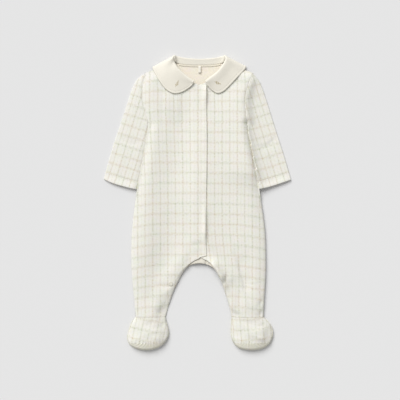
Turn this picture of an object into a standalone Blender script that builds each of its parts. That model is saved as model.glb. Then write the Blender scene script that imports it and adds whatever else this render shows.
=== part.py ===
"""A footed baby sleepsuit, laid flat on its back, as one solid for each piece that is cut and sewn.

The tables are in millimetres and the meshes in metres. The suit lies on z = 0 with its front up (+Z), its
collar towards +Y and its feet towards -Y. Left and right are as seen from above, looking at the front.
Every layer is a wall over one height field, so layers that lie on each other never meet.
"""

import math
from collections import namedtuple

import bmesh
import bpy
from mathutils import Vector
from mathutils.geometry import intersect_point_line

MM = 0.001
SUIT_NAME = "footed_sleepsuit"

# Walls and clearances, in millimetres.
JERSEY = 1.2
TRIM = 1.0
COLLAR_CLOTH = 1.3
SEAM_GAP = 0.3
ARMHOLE_GAP = 0.8
LAYER_GAP = 0.4
FOOT_CLOTH = 1.7

# How far the upper layer rises inside its folded edges.
EDGE_ROUND = 27.0
SLEEVE_TUCK_LIFT = 3.4
SLEEVE_CROWN = 3.3
SLEEVE_VALLEY = 7.0
COLLAR_LIFT = 1.9
OVERLAP_LIFT = JERSEY + 2 * SEAM_GAP
ANKLE_Y = -210.0
ARMPIT_Y = 146.0
PLACKET_X = 4.0
UNDERLAP_X = 2.0

# The body's outer edges, from the shoulder tips down to the ankles.
BodySection = namedtuple("BodySection", "y left right")
BODY_SECTIONS = [
    BodySection(240, -95, 102),
    BodySection(217, -101, 93),
    BodySection(190, -101, 87),
    BodySection(165, -94.5, 88.5),
    BodySection(146, -91, 91),
    BodySection(118, -94.5, 95.5),
    BodySection(88, -99.5, 101),
    BodySection(24, -111.5, 114),
    BodySection(-45, -120, 124),
    BodySection(-90, -122, 126),
    BodySection(-130, -121, 126),
    BodySection(-185, -116, 123),
    BodySection(-210, -114, 122),
]

# The front neckline, from the shoulders down to the placket.
NeckSection = namedtuple("NeckSection", "y left right")
NECKLINE = [
    NeckSection(258, -40, 48),
    NeckSection(253, -42, 50),
    NeckSection(245, -38, 47),
    NeckSection(235, -29, 38),
    NeckSection(225, -17, 25),
    NeckSection(217, PLACKET_X, UNDERLAP_X),
]

# The inner edges below the placket: the two front flaps, then the crotch arch and the inside legs.
LegSection = namedtuple("LegSection", "y left right")
FRONT_INSEAM = [
    LegSection(-99, PLACKET_X, UNDERLAP_X),
    LegSection(-101.5, 0, 8),
    LegSection(-106, -8, 18),
    LegSection(-114, -17.5, 27),
    LegSection(-128, -26.5, 35.5),
    LegSection(-142, -34, 42.5),
    LegSection(-162, -44.5, 49.5),
    LegSection(-185, -53.5, 57),
    LegSection(-210, -59, 63),
]
ARCH_TOP_X = 3.0
BACK_INSEAM = [
    LegSection(-111, ARCH_TOP_X, ARCH_TOP_X),
    LegSection(-112.5, -7, 13),
    LegSection(-117.5, -17.5, 24.5),
    *FRONT_INSEAM[4:],
]

# Outlines of the feet, anticlockwise from the outer or inner ankle.
LEFT_FOOT = [
    (-114, -210), (-121, -219), (-126, -232), (-129.5, -248), (-125, -260.5), (-111, -268.5), (-95, -271),
    (-78, -268.5), (-63, -260), (-54, -246), (-53.5, -234), (-57, -220), (-59, -210),
]
RIGHT_FOOT = [
    (63, -210), (61.5, -228), (61.5, -243), (66, -257), (76, -266.5), (92, -270.5), (108, -270.5),
    (123, -266.5), (134, -257), (139, -242), (137, -228), (129, -217), (122, -210),
]
TOE_SEAM_Y = -257.5
SIDE_WRAP = 2.2
ANKLE_FADE = 12.0
FOOT_MIDDLE = -34.0

# The sole's section, from the middle of the floor out, up over the toes and back inside.
# A drop is a depth below the foot's dome. The flat values hold at the heel.
SoleRing = namedtuple("SoleRing", "inset wrap_share height drop flat_inset flat_height")
SOLE_RINGS = [
    SoleRing(12, 0, 0, None, 12, 0),
    SoleRing(2.6, 0, 0, None, 2.4, 0),
    SoleRing(0.6, 0, 0.35, None, 0.3, 0),
    SoleRing(0, 0, 1.5, None, 0, 0.15),
    SoleRing(0, 0.5, 0, 0, 0, 0.45),
    SoleRing(0, 1, 0, 0, 0, 0.75),
    SoleRing(0, 1, 0, FOOT_CLOTH, 0, 1.05),
    SoleRing(0.9, 0.5, 0, 1.4, 0.6, JERSEY),
    SoleRing(1.6, 0, 2.0, None, 1.3, JERSEY),
    SoleRing(3.0, 0, JERSEY, None, 2.8, JERSEY),
    SoleRing(12, 0, JERSEY, None, 12, JERSEY),
]

# Sleeves: the outer fold, the inner fold that is tucked under the body, and the open cuff.
LEFT_SLEEVE_OUTER = [
    (-95, 241), (-109, 230), (-119, 214), (-126, 193), (-142, 145), (-160, 90), (-173, 43),
]
LEFT_SLEEVE_INNER = [(-75, 137), (-78, 118), (-86, 90), (-98, 54), (-108, 23)]
LEFT_CUFF = [(-173, 43), (-157.5, 36), (-136, 29.5), (-108, 23)]
RIGHT_SLEEVE_OUTER = [
    (102, 240), (113, 226), (119, 213), (126, 193), (143, 139), (161, 83), (173, 42),
]
RIGHT_SLEEVE_INNER = [(76, 137), (79, 118), (87, 92), (101, 52), (110, 24)]
RIGHT_CUFF = [(173, 42), (152, 35), (131, 28.5), (110, 24)]

# The collar's roll line and outer edge, from one front tip round the back to the other.
CollarSection = namedtuple("CollarSection", "place roll outer")
COLLAR_SECTIONS = [
    CollarSection("front", (-6, 223.5), (-9.5, 216.5)),
    CollarSection("front", (-14, 229), (-17, 210.5)),
    CollarSection("front", (-23, 236), (-29, 203.5)),
    CollarSection("front", (-31, 243), (-43, 201)),
    CollarSection("front", (-38, 251), (-57, 208)),
    CollarSection("front", (-42.5, 260), (-70, 224)),
    CollarSection("front", (-44, 266.5), (-80, 242)),
    CollarSection("shoulder", (-42, 271), (-82.5, 250)),
    CollarSection("back", (-38, 270), (-76, 243)),
    CollarSection("back", (-20, 266.5), (-48, 228)),
    CollarSection("back", (4, 265), (4, 223)),
    CollarSection("back", (28, 266.5), (56, 228)),
    CollarSection("back", (46, 270), (83, 244)),
    CollarSection("shoulder", (50, 271), (89.5, 251.5)),
    CollarSection("front", (51.5, 266.5), (86.5, 245)),
    CollarSection("front", (50, 259.5), (74, 231)),
    CollarSection("front", (44, 249.5), (61, 217)),
    CollarSection("front", (38, 242), (49, 205.5)),
    CollarSection("front", (30, 235), (37, 201)),
    CollarSection("front", (21, 228.5), (25.5, 208)),
    CollarSection("front", (14, 223.5), (17.5, 216.5)),
]
NECK_CENTRE_X = 4.0
BACK_NECK_Y = 254.0
BACK_NECK_RISE = 4.0
NECK_HALF_WIDTH = 44.0

# The clear height between the layers inside the folds, down the suit.
Crown = namedtuple("Crown", "y gap")
CROWNS = [
    Crown(280, 3.3),
    Crown(-110, 3.3),
    Crown(-165, 4.4),
    Crown(-200, 7.5),
    Crown(-222, 14.0),
    Crown(-245, 18.5),
    Crown(-275, 18.5),
]

# The largest creases: a ridge (or a trough, below zero) along a line, with a soft cross-section.
Crease = namedtuple("Crease", "name start end reach height")
CREASES = [
    Crease("left trunk ridge", (-72, -60), (-62, -150), 13, 2.2),
    Crease("left trunk trough", (-92, 20), (-84, -150), 11, -1.6),
    Crease("right trunk ridge", (75, -60), (82, -150), 10, 2.0),
    Crease("right knee tuck", (58, -139), (78, -131), 8, -2.0),
    Crease("right knee ridge", (58, -156), (84, -150), 7, 2.4),
    Crease("left inner ankle dent", (-66, -197), (-62, -208), 7, -4.0),
    Crease("left crotch corner", (-26, -127), (-20, -117), 15, 1.3),
    Crease("right crotch corner", (35, -127), (28, -118), 15, 1.3),
]

PLACKET_EDGE = [(17.4, 216.2), (17.6, 100), (16.3, 10), (15.4, -60), (16.6, -97.5)]
PLACKET_BOTTOM_LEFT_Y = -98.6
CROTCH_BAND_DEPTH = 15.0
TAPE_DEPTH = 4.2
LOOP_WIDTH = 4.6
LOOP_LENGTH = 12.5
POPPER_PLACE = (-49.0, -148.5)
POPPER_RADIUS = 3.6
POPPER_HEIGHT = 1.1

# Shares of a panel's width at which its columns lie, and of a sleeve's width inside its two folds.
ACROSS = [0, 0.03, 0.09, 0.19, 0.34, 0.52, 0.7, 0.85, 0.95, 1.0]
NECK_COLUMN = 5
SLEEVE_ACROSS = [0.035, 0.11, 0.22, 0.36, 0.52, 0.67, 0.8, 0.9, 0.965]
SLEEVE_ROWS = 11
FOOT_STEPS = 8
HEEL_STEPS = 6
COLLAR_STEPS = 2
COLLAR_ACROSS = [0, 0.08, 0.14, 0.19, 0.24, 0.31, 0.42, 0.56, 0.7, 0.85, 1.0]


# ---------------------------------------------------------------- curves


def spline_point(points, lengths, at):
    """Reads a smooth curve through points at one distance along it."""
    last = len(points) - 2
    i = next((k for k in range(last) if at <= lengths[k + 1]), last)
    span = lengths[i + 1] - lengths[i]
    t = (at - lengths[i]) / span

    def slope(k):
        a, b = max(k - 1, 0), min(k + 1, len(points) - 1)
        return (points[b] - points[a]) / (lengths[b] - lengths[a])

    ease = t * t * (3 - 2 * t)
    return (
        points[i] * (1 - ease)
        + points[i + 1] * ease
        + slope(i) * span * t * (1 - t) ** 2
        - slope(i + 1) * span * t * t * (1 - t)
    )


def trace(points, shares):
    """A smooth curve through points, read at the given shares of its length."""
    points = [Vector(p) for p in points]
    lengths = [0.0]
    for a, b in zip(points, points[1:]):
        lengths.append(lengths[-1] + (b - a).length)
    return [spline_point(points, lengths, s * lengths[-1]) for s in shares]


def even(count):
    return [k / count for k in range(count + 1)]


def read_table(table, column, y):
    """Reads a column of a table that runs down in y, smoothly between its rows."""
    points = [Vector((getattr(row, column), 0)) for row in table]
    drops = [table[0].y - row.y for row in table]
    at = min(max(table[0].y - y, 0.0), drops[-1])
    return spline_point(points, drops, at).x


def soft_step(t):
    t = min(max(t, 0.0), 1.0)
    return t * t * (3 - 2 * t)


def round_rise(t):
    """0 at a folded edge and 1 inside it, along a quarter round."""
    t = min(max(t, 0.0), 1.0)
    return 1 - (1 - t) ** 2


# ---------------------------------------------------------------- where the layers fold together


def body_edge(side, y_from, y_to, count):
    heights = [y_from + (y_to - y_from) * s for s in even(count)]
    return [Vector((read_table(BODY_SECTIONS, side, y), y)) for y in heights]


def inseam(table, side, count):
    top, bottom = table[0].y, table[-1].y
    heights = [top + (bottom - top) * s * s for s in even(count)]
    return [Vector((read_table(table, side, y), y)) for y in heights]


def fold_lines():
    """The lines where the front and back layers meet: shoulders, sleeves, sides, feet and inside legs."""
    loop = body_edge("left", ARMPIT_Y, ANKLE_Y, 16)
    loop += trace(LEFT_FOOT, even(24))
    loop += inseam(BACK_INSEAM, "left", 14)[::-1]
    loop += inseam(BACK_INSEAM, "right", 14)
    loop += trace(RIGHT_FOOT, even(24))
    loop += body_edge("right", ARMPIT_Y, ANKLE_Y, 16)[::-1]
    left = [Vector((-42, 260))] + trace(LEFT_SLEEVE_OUTER, even(14))
    right = [Vector((50, 260))] + trace(RIGHT_SLEEVE_OUTER, even(14))
    return [loop, left, right]


FOLD_LINES = fold_lines()


def line_distance(point, start, end):
    near, share = intersect_point_line(point, start, end)
    if share < 0:
        near = start
    elif share > 1:
        near = end
    return (Vector((point.x, point.y)) - Vector((near.x, near.y))).length


def line_away(line, x, y):
    point = Vector((x, y))
    return min(line_distance(point, a, b) for a, b in zip(line, line[1:]))


def fold_distance(x, y):
    return min(line_away(line, x, y) for line in FOLD_LINES)


# ---------------------------------------------------------------- heights of the layers


def collar_fall_y(x):
    """The lower edge of the collar's back fall, which lies between the back and the floor."""
    return 223 + 26 * (abs(x - NECK_CENTRE_X) / 84) ** 3


def back_lift(x, y):
    """How far the back is held off the floor by the sleeves and by the collar's back fall."""
    collar = COLLAR_LIFT * soft_step((y - collar_fall_y(x) + 34) / 30)
    if y > ARMPIT_Y + 40 or y < -5:
        return collar
    side = "left" if x < 0 else "right"
    inside = abs(x) - abs(read_table(BODY_SECTIONS, side, y))
    tuck = 20 * soft_step((y - 10) / 90) + 7
    reach = soft_step((inside + tuck + 14) / 12)
    along = soft_step((ARMPIT_Y + 32 - y) / 22) * soft_step((y + 4) / 20)
    return max(collar, SLEEVE_TUCK_LIFT * reach * along)


def crease_height(x, y):
    point = Vector((x, y))
    total = 0.0
    for crease in CREASES:
        away = line_distance(point, Vector(crease.start), Vector(crease.end)) / crease.reach
        total += crease.height * math.exp(-away * away)
    return total


def layer_gap(x, y):
    """The clear height between the front and the back layer."""
    rise = round_rise(fold_distance(x, y) / EDGE_ROUND)
    crown = read_table(CROWNS, "gap", y)
    return max(LAYER_GAP, LAYER_GAP + crown * rise + crease_height(x, y))


def back_top(x, y):
    return back_lift(x, y) + JERSEY


def front_bottom(x, y):
    return back_top(x, y) + layer_gap(x, y)


def front_top(x, y):
    return front_bottom(x, y) + JERSEY


def over_lift(x):
    """The overlapping front rises over the front under it."""
    return OVERLAP_LIFT * soft_step((x + 18) / 14)


def collar_bed(x, y):
    """The top of whatever the collar's front falls lie on."""
    if x < PLACKET_X:
        return front_top(x, y) + over_lift(x)
    return front_top(x, y) + OVERLAP_LIFT * soft_step((24 - x) / 6)


def foot_inside(x, y):
    return JERSEY + layer_gap(x, y)


def sleeve_gap(side, x, y):
    """The clear height inside a sleeve, which the body presses flat where it lies over it."""
    loop, left_line, right_line = FOLD_LINES
    inside = abs(x) < abs(read_table(BODY_SECTIONS, side, y)) and y < ARMPIT_Y
    if inside:
        return LAYER_GAP
    outer_line = left_line if side == "left" else right_line
    outer_rise = round_rise(line_away(outer_line, x, y) / EDGE_ROUND)
    body_rise = round_rise((line_away(loop, x, y) - SLEEVE_VALLEY) / EDGE_ROUND)
    return LAYER_GAP + SLEEVE_CROWN * min(outer_rise, body_rise)


# ---------------------------------------------------------------- meshes


def make_material(name, colour, roughness=0.9):
    material = bpy.data.materials.new(name)
    material.use_nodes = True
    shader = material.node_tree.nodes["Principled BSDF"]
    shader.inputs["Base Color"].default_value = (*colour, 1.0)
    shader.inputs["Roughness"].default_value = roughness
    shader.inputs["Metallic"].default_value = 0.0
    return material


def finish_object(name, bm, material):
    bmesh.ops.recalc_face_normals(bm, faces=bm.faces[:])
    mesh = bpy.data.meshes.new(name)
    bm.to_mesh(mesh)
    bm.free()
    mesh.shade_smooth()
    mesh.set_sharp_from_angle(angle=math.radians(40))
    mesh.materials.append(material)
    piece = bpy.data.objects.new(name, mesh)
    bpy.data.collections[SUIT_NAME].objects.link(piece)
    return piece


def grid_mesh(rows):
    """A grid of quads laid over rows of millimetre points."""
    bm = bmesh.new()
    across, down = len(rows[0]) - 1, len(rows) - 1
    bmesh.ops.create_grid(bm, x_segments=across, y_segments=down, size=0.5)
    for vert in bm.verts:
        column = round((vert.co.x + 0.5) * across)
        row = round((0.5 - vert.co.y) * down)
        vert.co = Vector(rows[row][column]) * MM
    return bm


def raise_wall(bm, thickness):
    """Turns a sheet into a closed wall, upwards."""
    grown = bmesh.ops.extrude_face_region(bm, geom=bm.faces[:], use_keep_orig=True)
    upper = [item for item in grown["geom"] if isinstance(item, bmesh.types.BMVert)]
    bmesh.ops.translate(bm, verts=upper, vec=(0, 0, thickness * MM))


def laid_panel(name, rows, height, thickness, material):
    """A panel that lies on a height field: rows of plan points, each lifted to height(x, y)."""
    lifted = [[(p.x, p.y, height(p.x, p.y)) for p in row] for row in rows]
    bm = grid_mesh(lifted)
    raise_wall(bm, thickness)
    return finish_object(name, bm, material)


def lofted_solid(name, rings, material, capped):
    """A solid through closed rings of millimetre points, capped at both ends or joined end to end."""
    bm = bmesh.new()
    loops = [[bm.verts.new(Vector(p) * MM) for p in ring] for ring in rings]
    pairs = list(zip(loops, loops[1:]))
    if not capped:
        pairs.append((loops[-1], loops[0]))
    for one, other in pairs:
        count = len(one)
        for k in range(count):
            following = (k + 1) % count
            bm.faces.new((one[k], one[following], other[following], other[k]))
    if capped:
        bm.faces.new(loops[0])
        bm.faces.new(loops[-1])
    return finish_object(name, bm, material)


# ---------------------------------------------------------------- body


def between(one, other, shares):
    return [[a.lerp(b, s) for s in shares] for a, b in zip(one, other)]


def patch(left, right, top, bottom, shares):
    """A grid of plan points inside four edges (a Coons patch), rows from top to bottom."""
    down = even(len(left) - 1)
    rows = []
    for v, start, end in zip(down, left, right):
        row = []
        for u, high, low in zip(shares, top, bottom):
            sides = start.lerp(end, u) + high.lerp(low, v)
            row.append(sides - left[0].lerp(right[0], u).lerp(left[-1].lerp(right[-1], u), v))
        rows.append(row)
    return rows


def spaced(start, end, count):
    """Heights from start to end, without the start."""
    return [start + (end - start) * s for s in even(count)][1:]


def edge_points(table, side, heights):
    return [Vector((read_table(table, side, y), y)) for y in heights]


YOKE_Y = 190.0
TRUNK_HEIGHTS = spaced(YOKE_Y, FRONT_INSEAM[0].y, 14)


def front_rows(side, inner_x):
    """Plan points of one front, in rows from the shoulder to the ankle, each from outside to inside."""
    neck = trace([(getattr(row, side), row.y) for row in NECKLINE], even(6))
    inner = neck + [Vector((inner_x, y)) for y in spaced(NECKLINE[-1].y, YOKE_Y, 3)]
    outer = edge_points(BODY_SECTIONS, side, [BODY_SECTIONS[0].y, *spaced(BODY_SECTIONS[0].y, YOKE_Y, 9)])
    outer += edge_points(BODY_SECTIONS, side, TRUNK_HEIGHTS)
    inner += [Vector((inner_x, y)) for y in TRUNK_HEIGHTS]
    flap_y = FRONT_INSEAM[0].y
    legs = spaced(flap_y, -106, 3) + spaced(-106, -142, 4) + spaced(-142, ANKLE_Y + SEAM_GAP / 2, 5)
    outer += edge_points(BODY_SECTIONS, side, legs)
    inner += edge_points(FRONT_INSEAM, side, legs)
    return between(outer, inner, ACROSS)


def back_neck_y(x):
    return BACK_NECK_Y + BACK_NECK_RISE * (abs(x - NECK_CENTRE_X) / NECK_HALF_WIDTH) ** 3


def back_rows(side):
    """Plan points of half the back, from its outer edge to the centre line, then to the inside leg."""
    shoulder_y = BODY_SECTIONS[0].y
    tip = edge_points(BODY_SECTIONS, side, [shoulder_y])[0]
    neck_x = getattr(NECKLINE[0], side)
    neck_end = Vector((neck_x, back_neck_y(neck_x)))
    top = [tip.lerp(neck_end, s) for s in even(NECK_COLUMN)]
    for s in even(len(ACROSS) - 1 - NECK_COLUMN)[1:]:
        x = neck_x + (ARCH_TOP_X - neck_x) * s
        top.append(Vector((x, back_neck_y(x))))
    outer = edge_points(BODY_SECTIONS, side, [shoulder_y, *spaced(shoulder_y, YOKE_Y, 4)])
    middle = [Vector((ARCH_TOP_X, y)) for y in [top[-1].y, *spaced(top[-1].y, YOKE_Y, 4)]]
    bottom = [outer[-1].lerp(middle[-1], s) for s in ACROSS]
    rows = patch(outer, middle, top, bottom, ACROSS)

    arch_y = BACK_INSEAM[0].y
    trunk = TRUNK_HEIGHTS + [arch_y]
    legs = [arch_y - 0.8, arch_y - 2, arch_y - 4, arch_y - 6.5, *spaced(-118, -142, 3)]
    legs += spaced(-142, ANKLE_Y + SEAM_GAP / 2, 5)
    low_outer = edge_points(BODY_SECTIONS, side, trunk + legs)
    low_inner = [Vector((ARCH_TOP_X, y)) for y in trunk] + edge_points(BACK_INSEAM, side, legs)
    return rows + between(low_outer, low_inner, ACROSS)


def make_front(name, side, inner_x, lift, material):
    def height(x, y):
        return front_bottom(x, y) + (over_lift(x) if lift else 0.0)

    return laid_panel(name, front_rows(side, inner_x), height, JERSEY, material)


def make_back(material):
    """Both halves of the back as one sheet, flat on the floor except over the sleeves and the collar."""
    bm = bmesh.new()
    for side in ("left", "right"):
        lifted = [[(p.x, p.y, back_lift(p.x, p.y)) for p in row] for row in back_rows(side)]
        half = grid_mesh(lifted)
        mesh = bpy.data.meshes.new("half")
        half.to_mesh(mesh)
        half.free()
        bm.from_mesh(mesh)
        bpy.data.meshes.remove(mesh)
    bmesh.ops.remove_doubles(bm, verts=bm.verts[:], dist=0.01 * MM)
    bmesh.ops.recalc_face_normals(bm, faces=bm.faces[:])
    raise_wall(bm, JERSEY)
    return finish_object("back", bm, material)


def make_placket_band(material):
    """The plain band along the overlapping front's edge, with its stitched-down free edge."""
    heights = [PLACKET_EDGE[0][1], *spaced(PLACKET_EDGE[0][1], PLACKET_EDGE[-1][1], 20)]
    free_edge = trace(PLACKET_EDGE, even(20))
    fixed = [Vector((PLACKET_X + SEAM_GAP, y)) for y in heights]
    fixed[-1].y = PLACKET_BOTTOM_LEFT_Y
    rows = between(fixed, free_edge, [0, 0.33, 0.67, 1])
    return laid_panel("placket_band", rows, lambda x, y: front_bottom(x, y) + OVERLAP_LIFT, JERSEY, material)


def make_crotch_band(material):
    """The facing along the crotch arch, on the inside of the back."""
    shares = even(10)
    arch = trace([(-14, -115), (-7, -112.5), (ARCH_TOP_X, -111), (13, -112.5), (21, -115)], shares)
    low = [point + Vector((0, 0.8)) for point in arch]
    rows = [[point + Vector((0, CROTCH_BAND_DEPTH * s)) for point in low] for s in (1, 0.6, 0.3, 0)]
    return laid_panel("crotch_band", rows, lambda x, y: back_top(x, y) + SEAM_GAP, TRIM, material)


def make_neck_tape(material):
    """The tape that covers the back neck seam inside."""
    reach = NECK_HALF_WIDTH - 6
    spots = [NECK_CENTRE_X + reach * (2 * s - 1) for s in even(12)]
    top = [Vector((x, back_neck_y(x) - 1.4)) for x in spots]
    rows = [[point - Vector((0, TAPE_DEPTH * s)) for point in top] for s in (0, 0.5, 1)]
    return laid_panel("neck_tape", rows, lambda x, y: back_top(x, y) + SEAM_GAP, TRIM, material)


def make_hanging_loop(material):
    """The folded loop sewn to the middle of the tape."""
    left_x = NECK_CENTRE_X - LOOP_WIDTH / 2
    heights = [BACK_NECK_Y - 1.6 - LOOP_LENGTH * s for s in even(5)]
    rows = [[Vector((left_x + LOOP_WIDTH * s, y)) for s in (0, 0.5, 1)] for y in heights]

    def height(x, y):
        return back_top(x, y) + TRIM + 2 * SEAM_GAP

    return laid_panel("hanging_loop", rows, height, TRIM, material)


# ---------------------------------------------------------------- sleeves


def armhole_edge(side, inner_start):
    """The sleeve's own edge: along the body's armhole, then under the body to the underarm."""
    heights = [BODY_SECTIONS[0].y, 228, 217, 204, 190, 176, 163, 150]
    outward = -1 if side == "left" else 1
    seam = [p + Vector((outward * ARMHOLE_GAP, 0)) for p in edge_points(BODY_SECTIONS, side, heights)]
    return [*seam, Vector(inner_start)]


def sleeve_rows(side, outer, inner, cuff):
    shares = [0, *SLEEVE_ACROSS, 1]
    start = armhole_edge(side, inner[0])
    left = trace([start[0], *outer[1:]], even(SLEEVE_ROWS))
    right = trace(inner, even(SLEEVE_ROWS))
    return patch(left, right, trace(start, shares), trace(cuff, shares), shares)


def sleeve_ring(side, row, inset):
    """One closed ring round a sleeve: under it from the outer fold to the inner one, and back over it."""
    across = (row[-1] - row[0]).normalized()
    folds = [row[0] + across * inset, row[-1] - across * inset]
    middle = JERSEY + LAYER_GAP / 2
    under = [(p.x, p.y, inset) for p in row[1:-1]]
    over = [(p.x, p.y, 2 * JERSEY - inset + sleeve_gap(side, p.x, p.y)) for p in row[1:-1]]
    return [(*folds[0], middle), *under, (*folds[1], middle), *over[::-1]]


def make_sleeve(name, side, outer, inner, cuff, material):
    """A flattened tube, open at the armhole and at the cuff."""
    rows = sleeve_rows(side, outer, inner, cuff)
    outside = [sleeve_ring(side, row, 0.0) for row in rows]
    inside = [sleeve_ring(side, row, JERSEY) for row in rows]
    return lofted_solid(name, outside + inside[::-1], material, capped=False)


# ---------------------------------------------------------------- feet


def foot_frame(outline):
    """The foot's rim points and, for each, the way to its middle and how far the sole wraps up."""
    rim = trace(outline, even(3 * FOOT_STEPS))
    centre = (rim[0] + rim[-1]) / 2 + Vector((0, FOOT_MIDDLE))
    ways, wraps = [], []
    for point in rim:
        way = (centre - point).normalized()
        fade = soft_step((ANKLE_Y - point.y) / ANKLE_FADE)
        ways.append(way)
        wraps.append(max(SIDE_WRAP * fade, (TOE_SEAM_Y - point.y) / max(way.y, 0.2)))
    return rim, ways, wraps


def seam_points(outline, extra):
    rim, ways, wraps = foot_frame(outline)
    ankle = ANKLE_Y - SEAM_GAP / 2
    points = [p + way * (wrap + extra) for p, way, wrap in zip(rim, ways, wraps)]
    return [Vector((p.x, min(p.y, ankle))) for p in points]


def make_foot_upper(name, outline, material):
    """The domed top of a foot, from the ankle to the seam over the toes."""
    seam = seam_points(outline, SEAM_GAP)
    left = seam[: FOOT_STEPS + 1]
    toe = seam[FOOT_STEPS : 2 * FOOT_STEPS + 1]
    right = seam[2 * FOOT_STEPS :][::-1]
    shares = even(FOOT_STEPS)
    ankle = [seam[0].lerp(seam[-1], s) for s in shares]
    rows = patch(left, right, ankle, toe, shares)
    return laid_panel(name, rows, foot_inside, FOOT_CLOTH, material)


def sole_ring(ring, rim, ways, wraps):
    """One ring of the sole. It stays flat at the heel and follows the foot's dome elsewhere."""
    ankle = ANKLE_Y - SEAM_GAP / 2
    points = []
    for point, way, wrap in zip(rim, ways, wraps):
        full = min(1.0, wrap / SIDE_WRAP)
        inset = ring.inset + ring.wrap_share * wrap
        spot = point + way * (ring.flat_inset + (inset - ring.flat_inset) * full)
        height = ring.height
        if ring.drop is not None:
            height = foot_inside(spot.x, spot.y) + FOOT_CLOTH - ring.drop
        height = ring.flat_height + (height - ring.flat_height) * full
        points.append((spot.x, min(spot.y, ankle), height))
    return points


def make_sole(name, outline, material):
    """The sole: flat on the floor, and wrapped up over the toes to its seam."""
    rim, ways, wraps = foot_frame(outline)
    middle = rim[0] + (rim[-1] - rim[0]) / 2 + Vector((0, FOOT_MIDDLE))
    heel = [rim[-1].lerp(rim[0], s) for s in even(HEEL_STEPS)][1:-1]
    rim += heel
    ways += [(middle - point).normalized() for point in heel]
    wraps += [0.0] * len(heel)
    rings = [sole_ring(ring, rim, ways, wraps) for ring in SOLE_RINGS]
    return lofted_solid(name, rings, material, capped=True)


# ---------------------------------------------------------------- collar and popper


def collar_controls(section):
    """Six points across the collar: seam, stand, roll, fold-over, fall and outer edge."""
    roll, outer = Vector(section.roll), Vector(section.outer)
    width = (outer - roll).length
    out = (outer - roll).normalized()
    short = soft_step((24 - width) / 15)
    if section.place == "back":
        floor = COLLAR_CLOTH / 2
        neck = Vector((NECK_CENTRE_X + (roll.x - NECK_CENTRE_X) * 0.93, 0))
        neck.y = back_neck_y(neck.x) - 0.4
        seam_z = back_top(neck.x, neck.y) + COLLAR_CLOTH / 2 + LAYER_GAP
        plan = [neck, neck.lerp(roll, 0.65), roll, roll + out * 2.5, roll.lerp(outer, 0.5), outer]
        heights = [seam_z, seam_z + 2.8, seam_z + 0.8, floor + 1.1, floor, floor]
    elif section.place == "shoulder":
        neck = Vector((roll.x + (2 if roll.x < 0 else -2), BACK_NECK_Y + BACK_NECK_RISE + 1))
        plan = [neck, neck.lerp(roll, 0.6), roll, roll + out * 4, roll.lerp(outer, 0.5), outer]
        heights = [5.6, 8.0, 8.2, 6.0, 4.0, 3.3]
    else:
        seam = roll + out * min(5.0, 0.45 * width)
        plan = [seam, roll + out * 1.6, roll, roll + out * 3.0, roll.lerp(outer, 0.5), outer]
        rises = [1.15, 1.6, 3.0, 4.7, 1.8 + 2.3 * short, 1.3 + 1.8 * short]
        heights = [collar_bed(p.x, p.y) + rise for p, rise in zip(plan, rises)]
    return [Vector((p.x, p.y, z)) for p, z in zip(plan, heights)]


def make_collar(material):
    """A round collar in one strip: it stands at the neck seam, rolls over and falls on the suit."""
    controls = [collar_controls(section) for section in COLLAR_SECTIONS]
    rails = []
    for k in range(len(controls[0])):
        points = [row[k] for row in controls]
        last = len(points) - 1
        spots = even(last * COLLAR_STEPS)
        rails.append([spline_point(points, list(range(last + 1)), s * last) for s in spots])
    sections = [[rail[j] for rail in rails] for j in range(len(rails[0]))]
    rows = [trace(section, COLLAR_ACROSS) for section in sections]
    bm = grid_mesh(rows)
    collar = finish_object("collar", bm, material)
    wall = collar.modifiers.new("Cloth", "SOLIDIFY")
    wall.thickness = COLLAR_CLOTH * MM
    wall.offset = 0.0
    return collar


def make_popper(material):
    """The cap of the press stud near the inside leg."""
    x, y = POPPER_PLACE
    bm = bmesh.new()
    bmesh.ops.create_cone(
        bm,
        cap_ends=True,
        segments=20,
        radius1=POPPER_RADIUS * MM,
        radius2=POPPER_RADIUS * 0.8 * MM,
        depth=POPPER_HEIGHT * MM,
    )
    base = max(
        front_top(x + POPPER_RADIUS * dx, y + POPPER_RADIUS * dy)
        for dx, dy in ((0, 0), (1, 0), (-1, 0), (0, 1), (0, -1))
    )
    height = base + 2 * SEAM_GAP + POPPER_HEIGHT / 2
    bmesh.ops.translate(bm, verts=bm.verts[:], vec=Vector((x, y, height)) * MM)
    return finish_object("inseam_popper", bm, material)


# ---------------------------------------------------------------- the suit


def clear_scene():
    for old in list(bpy.data.objects):
        bpy.data.objects.remove(old)


def build_suit():
    bpy.context.scene.collection.children.link(bpy.data.collections.new(SUIT_NAME))
    checked = make_material("checked_jersey", (0.78, 0.77, 0.69))
    plain = make_material("plain_jersey", (0.83, 0.80, 0.70))
    tape = make_material("cotton_tape", (0.85, 0.81, 0.70))
    stud = make_material("popper_plastic", (0.80, 0.78, 0.70), roughness=0.45)

    make_back(checked)
    make_crotch_band(plain)
    make_front("front_under", "right", UNDERLAP_X, False, checked)
    make_front("front_over", "left", PLACKET_X, True, checked)
    make_placket_band(plain)
    make_neck_tape(tape)
    make_hanging_loop(tape)
    make_collar(plain)
    make_sleeve("sleeve_left", "left", LEFT_SLEEVE_OUTER, LEFT_SLEEVE_INNER, LEFT_CUFF, checked)
    make_sleeve("sleeve_right", "right", RIGHT_SLEEVE_OUTER, RIGHT_SLEEVE_INNER, RIGHT_CUFF, checked)
    for side, outline in (("left", LEFT_FOOT), ("right", RIGHT_FOOT)):
        make_foot_upper(f"foot_upper_{side}", outline, checked)
        make_sole(f"sole_{side}", outline, checked)
    make_popper(stud)


clear_scene()
build_suit()
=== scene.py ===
"""The looks of a footed baby sleepsuit that lies flat on its back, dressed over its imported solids.

Sizes and plan points are in millimetres, and objects are made in metres. The suit lies on z = 0 with its
front up (+Z), its collar towards +Y and its feet towards -Y. Left and right are as seen from above.
"""

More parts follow.
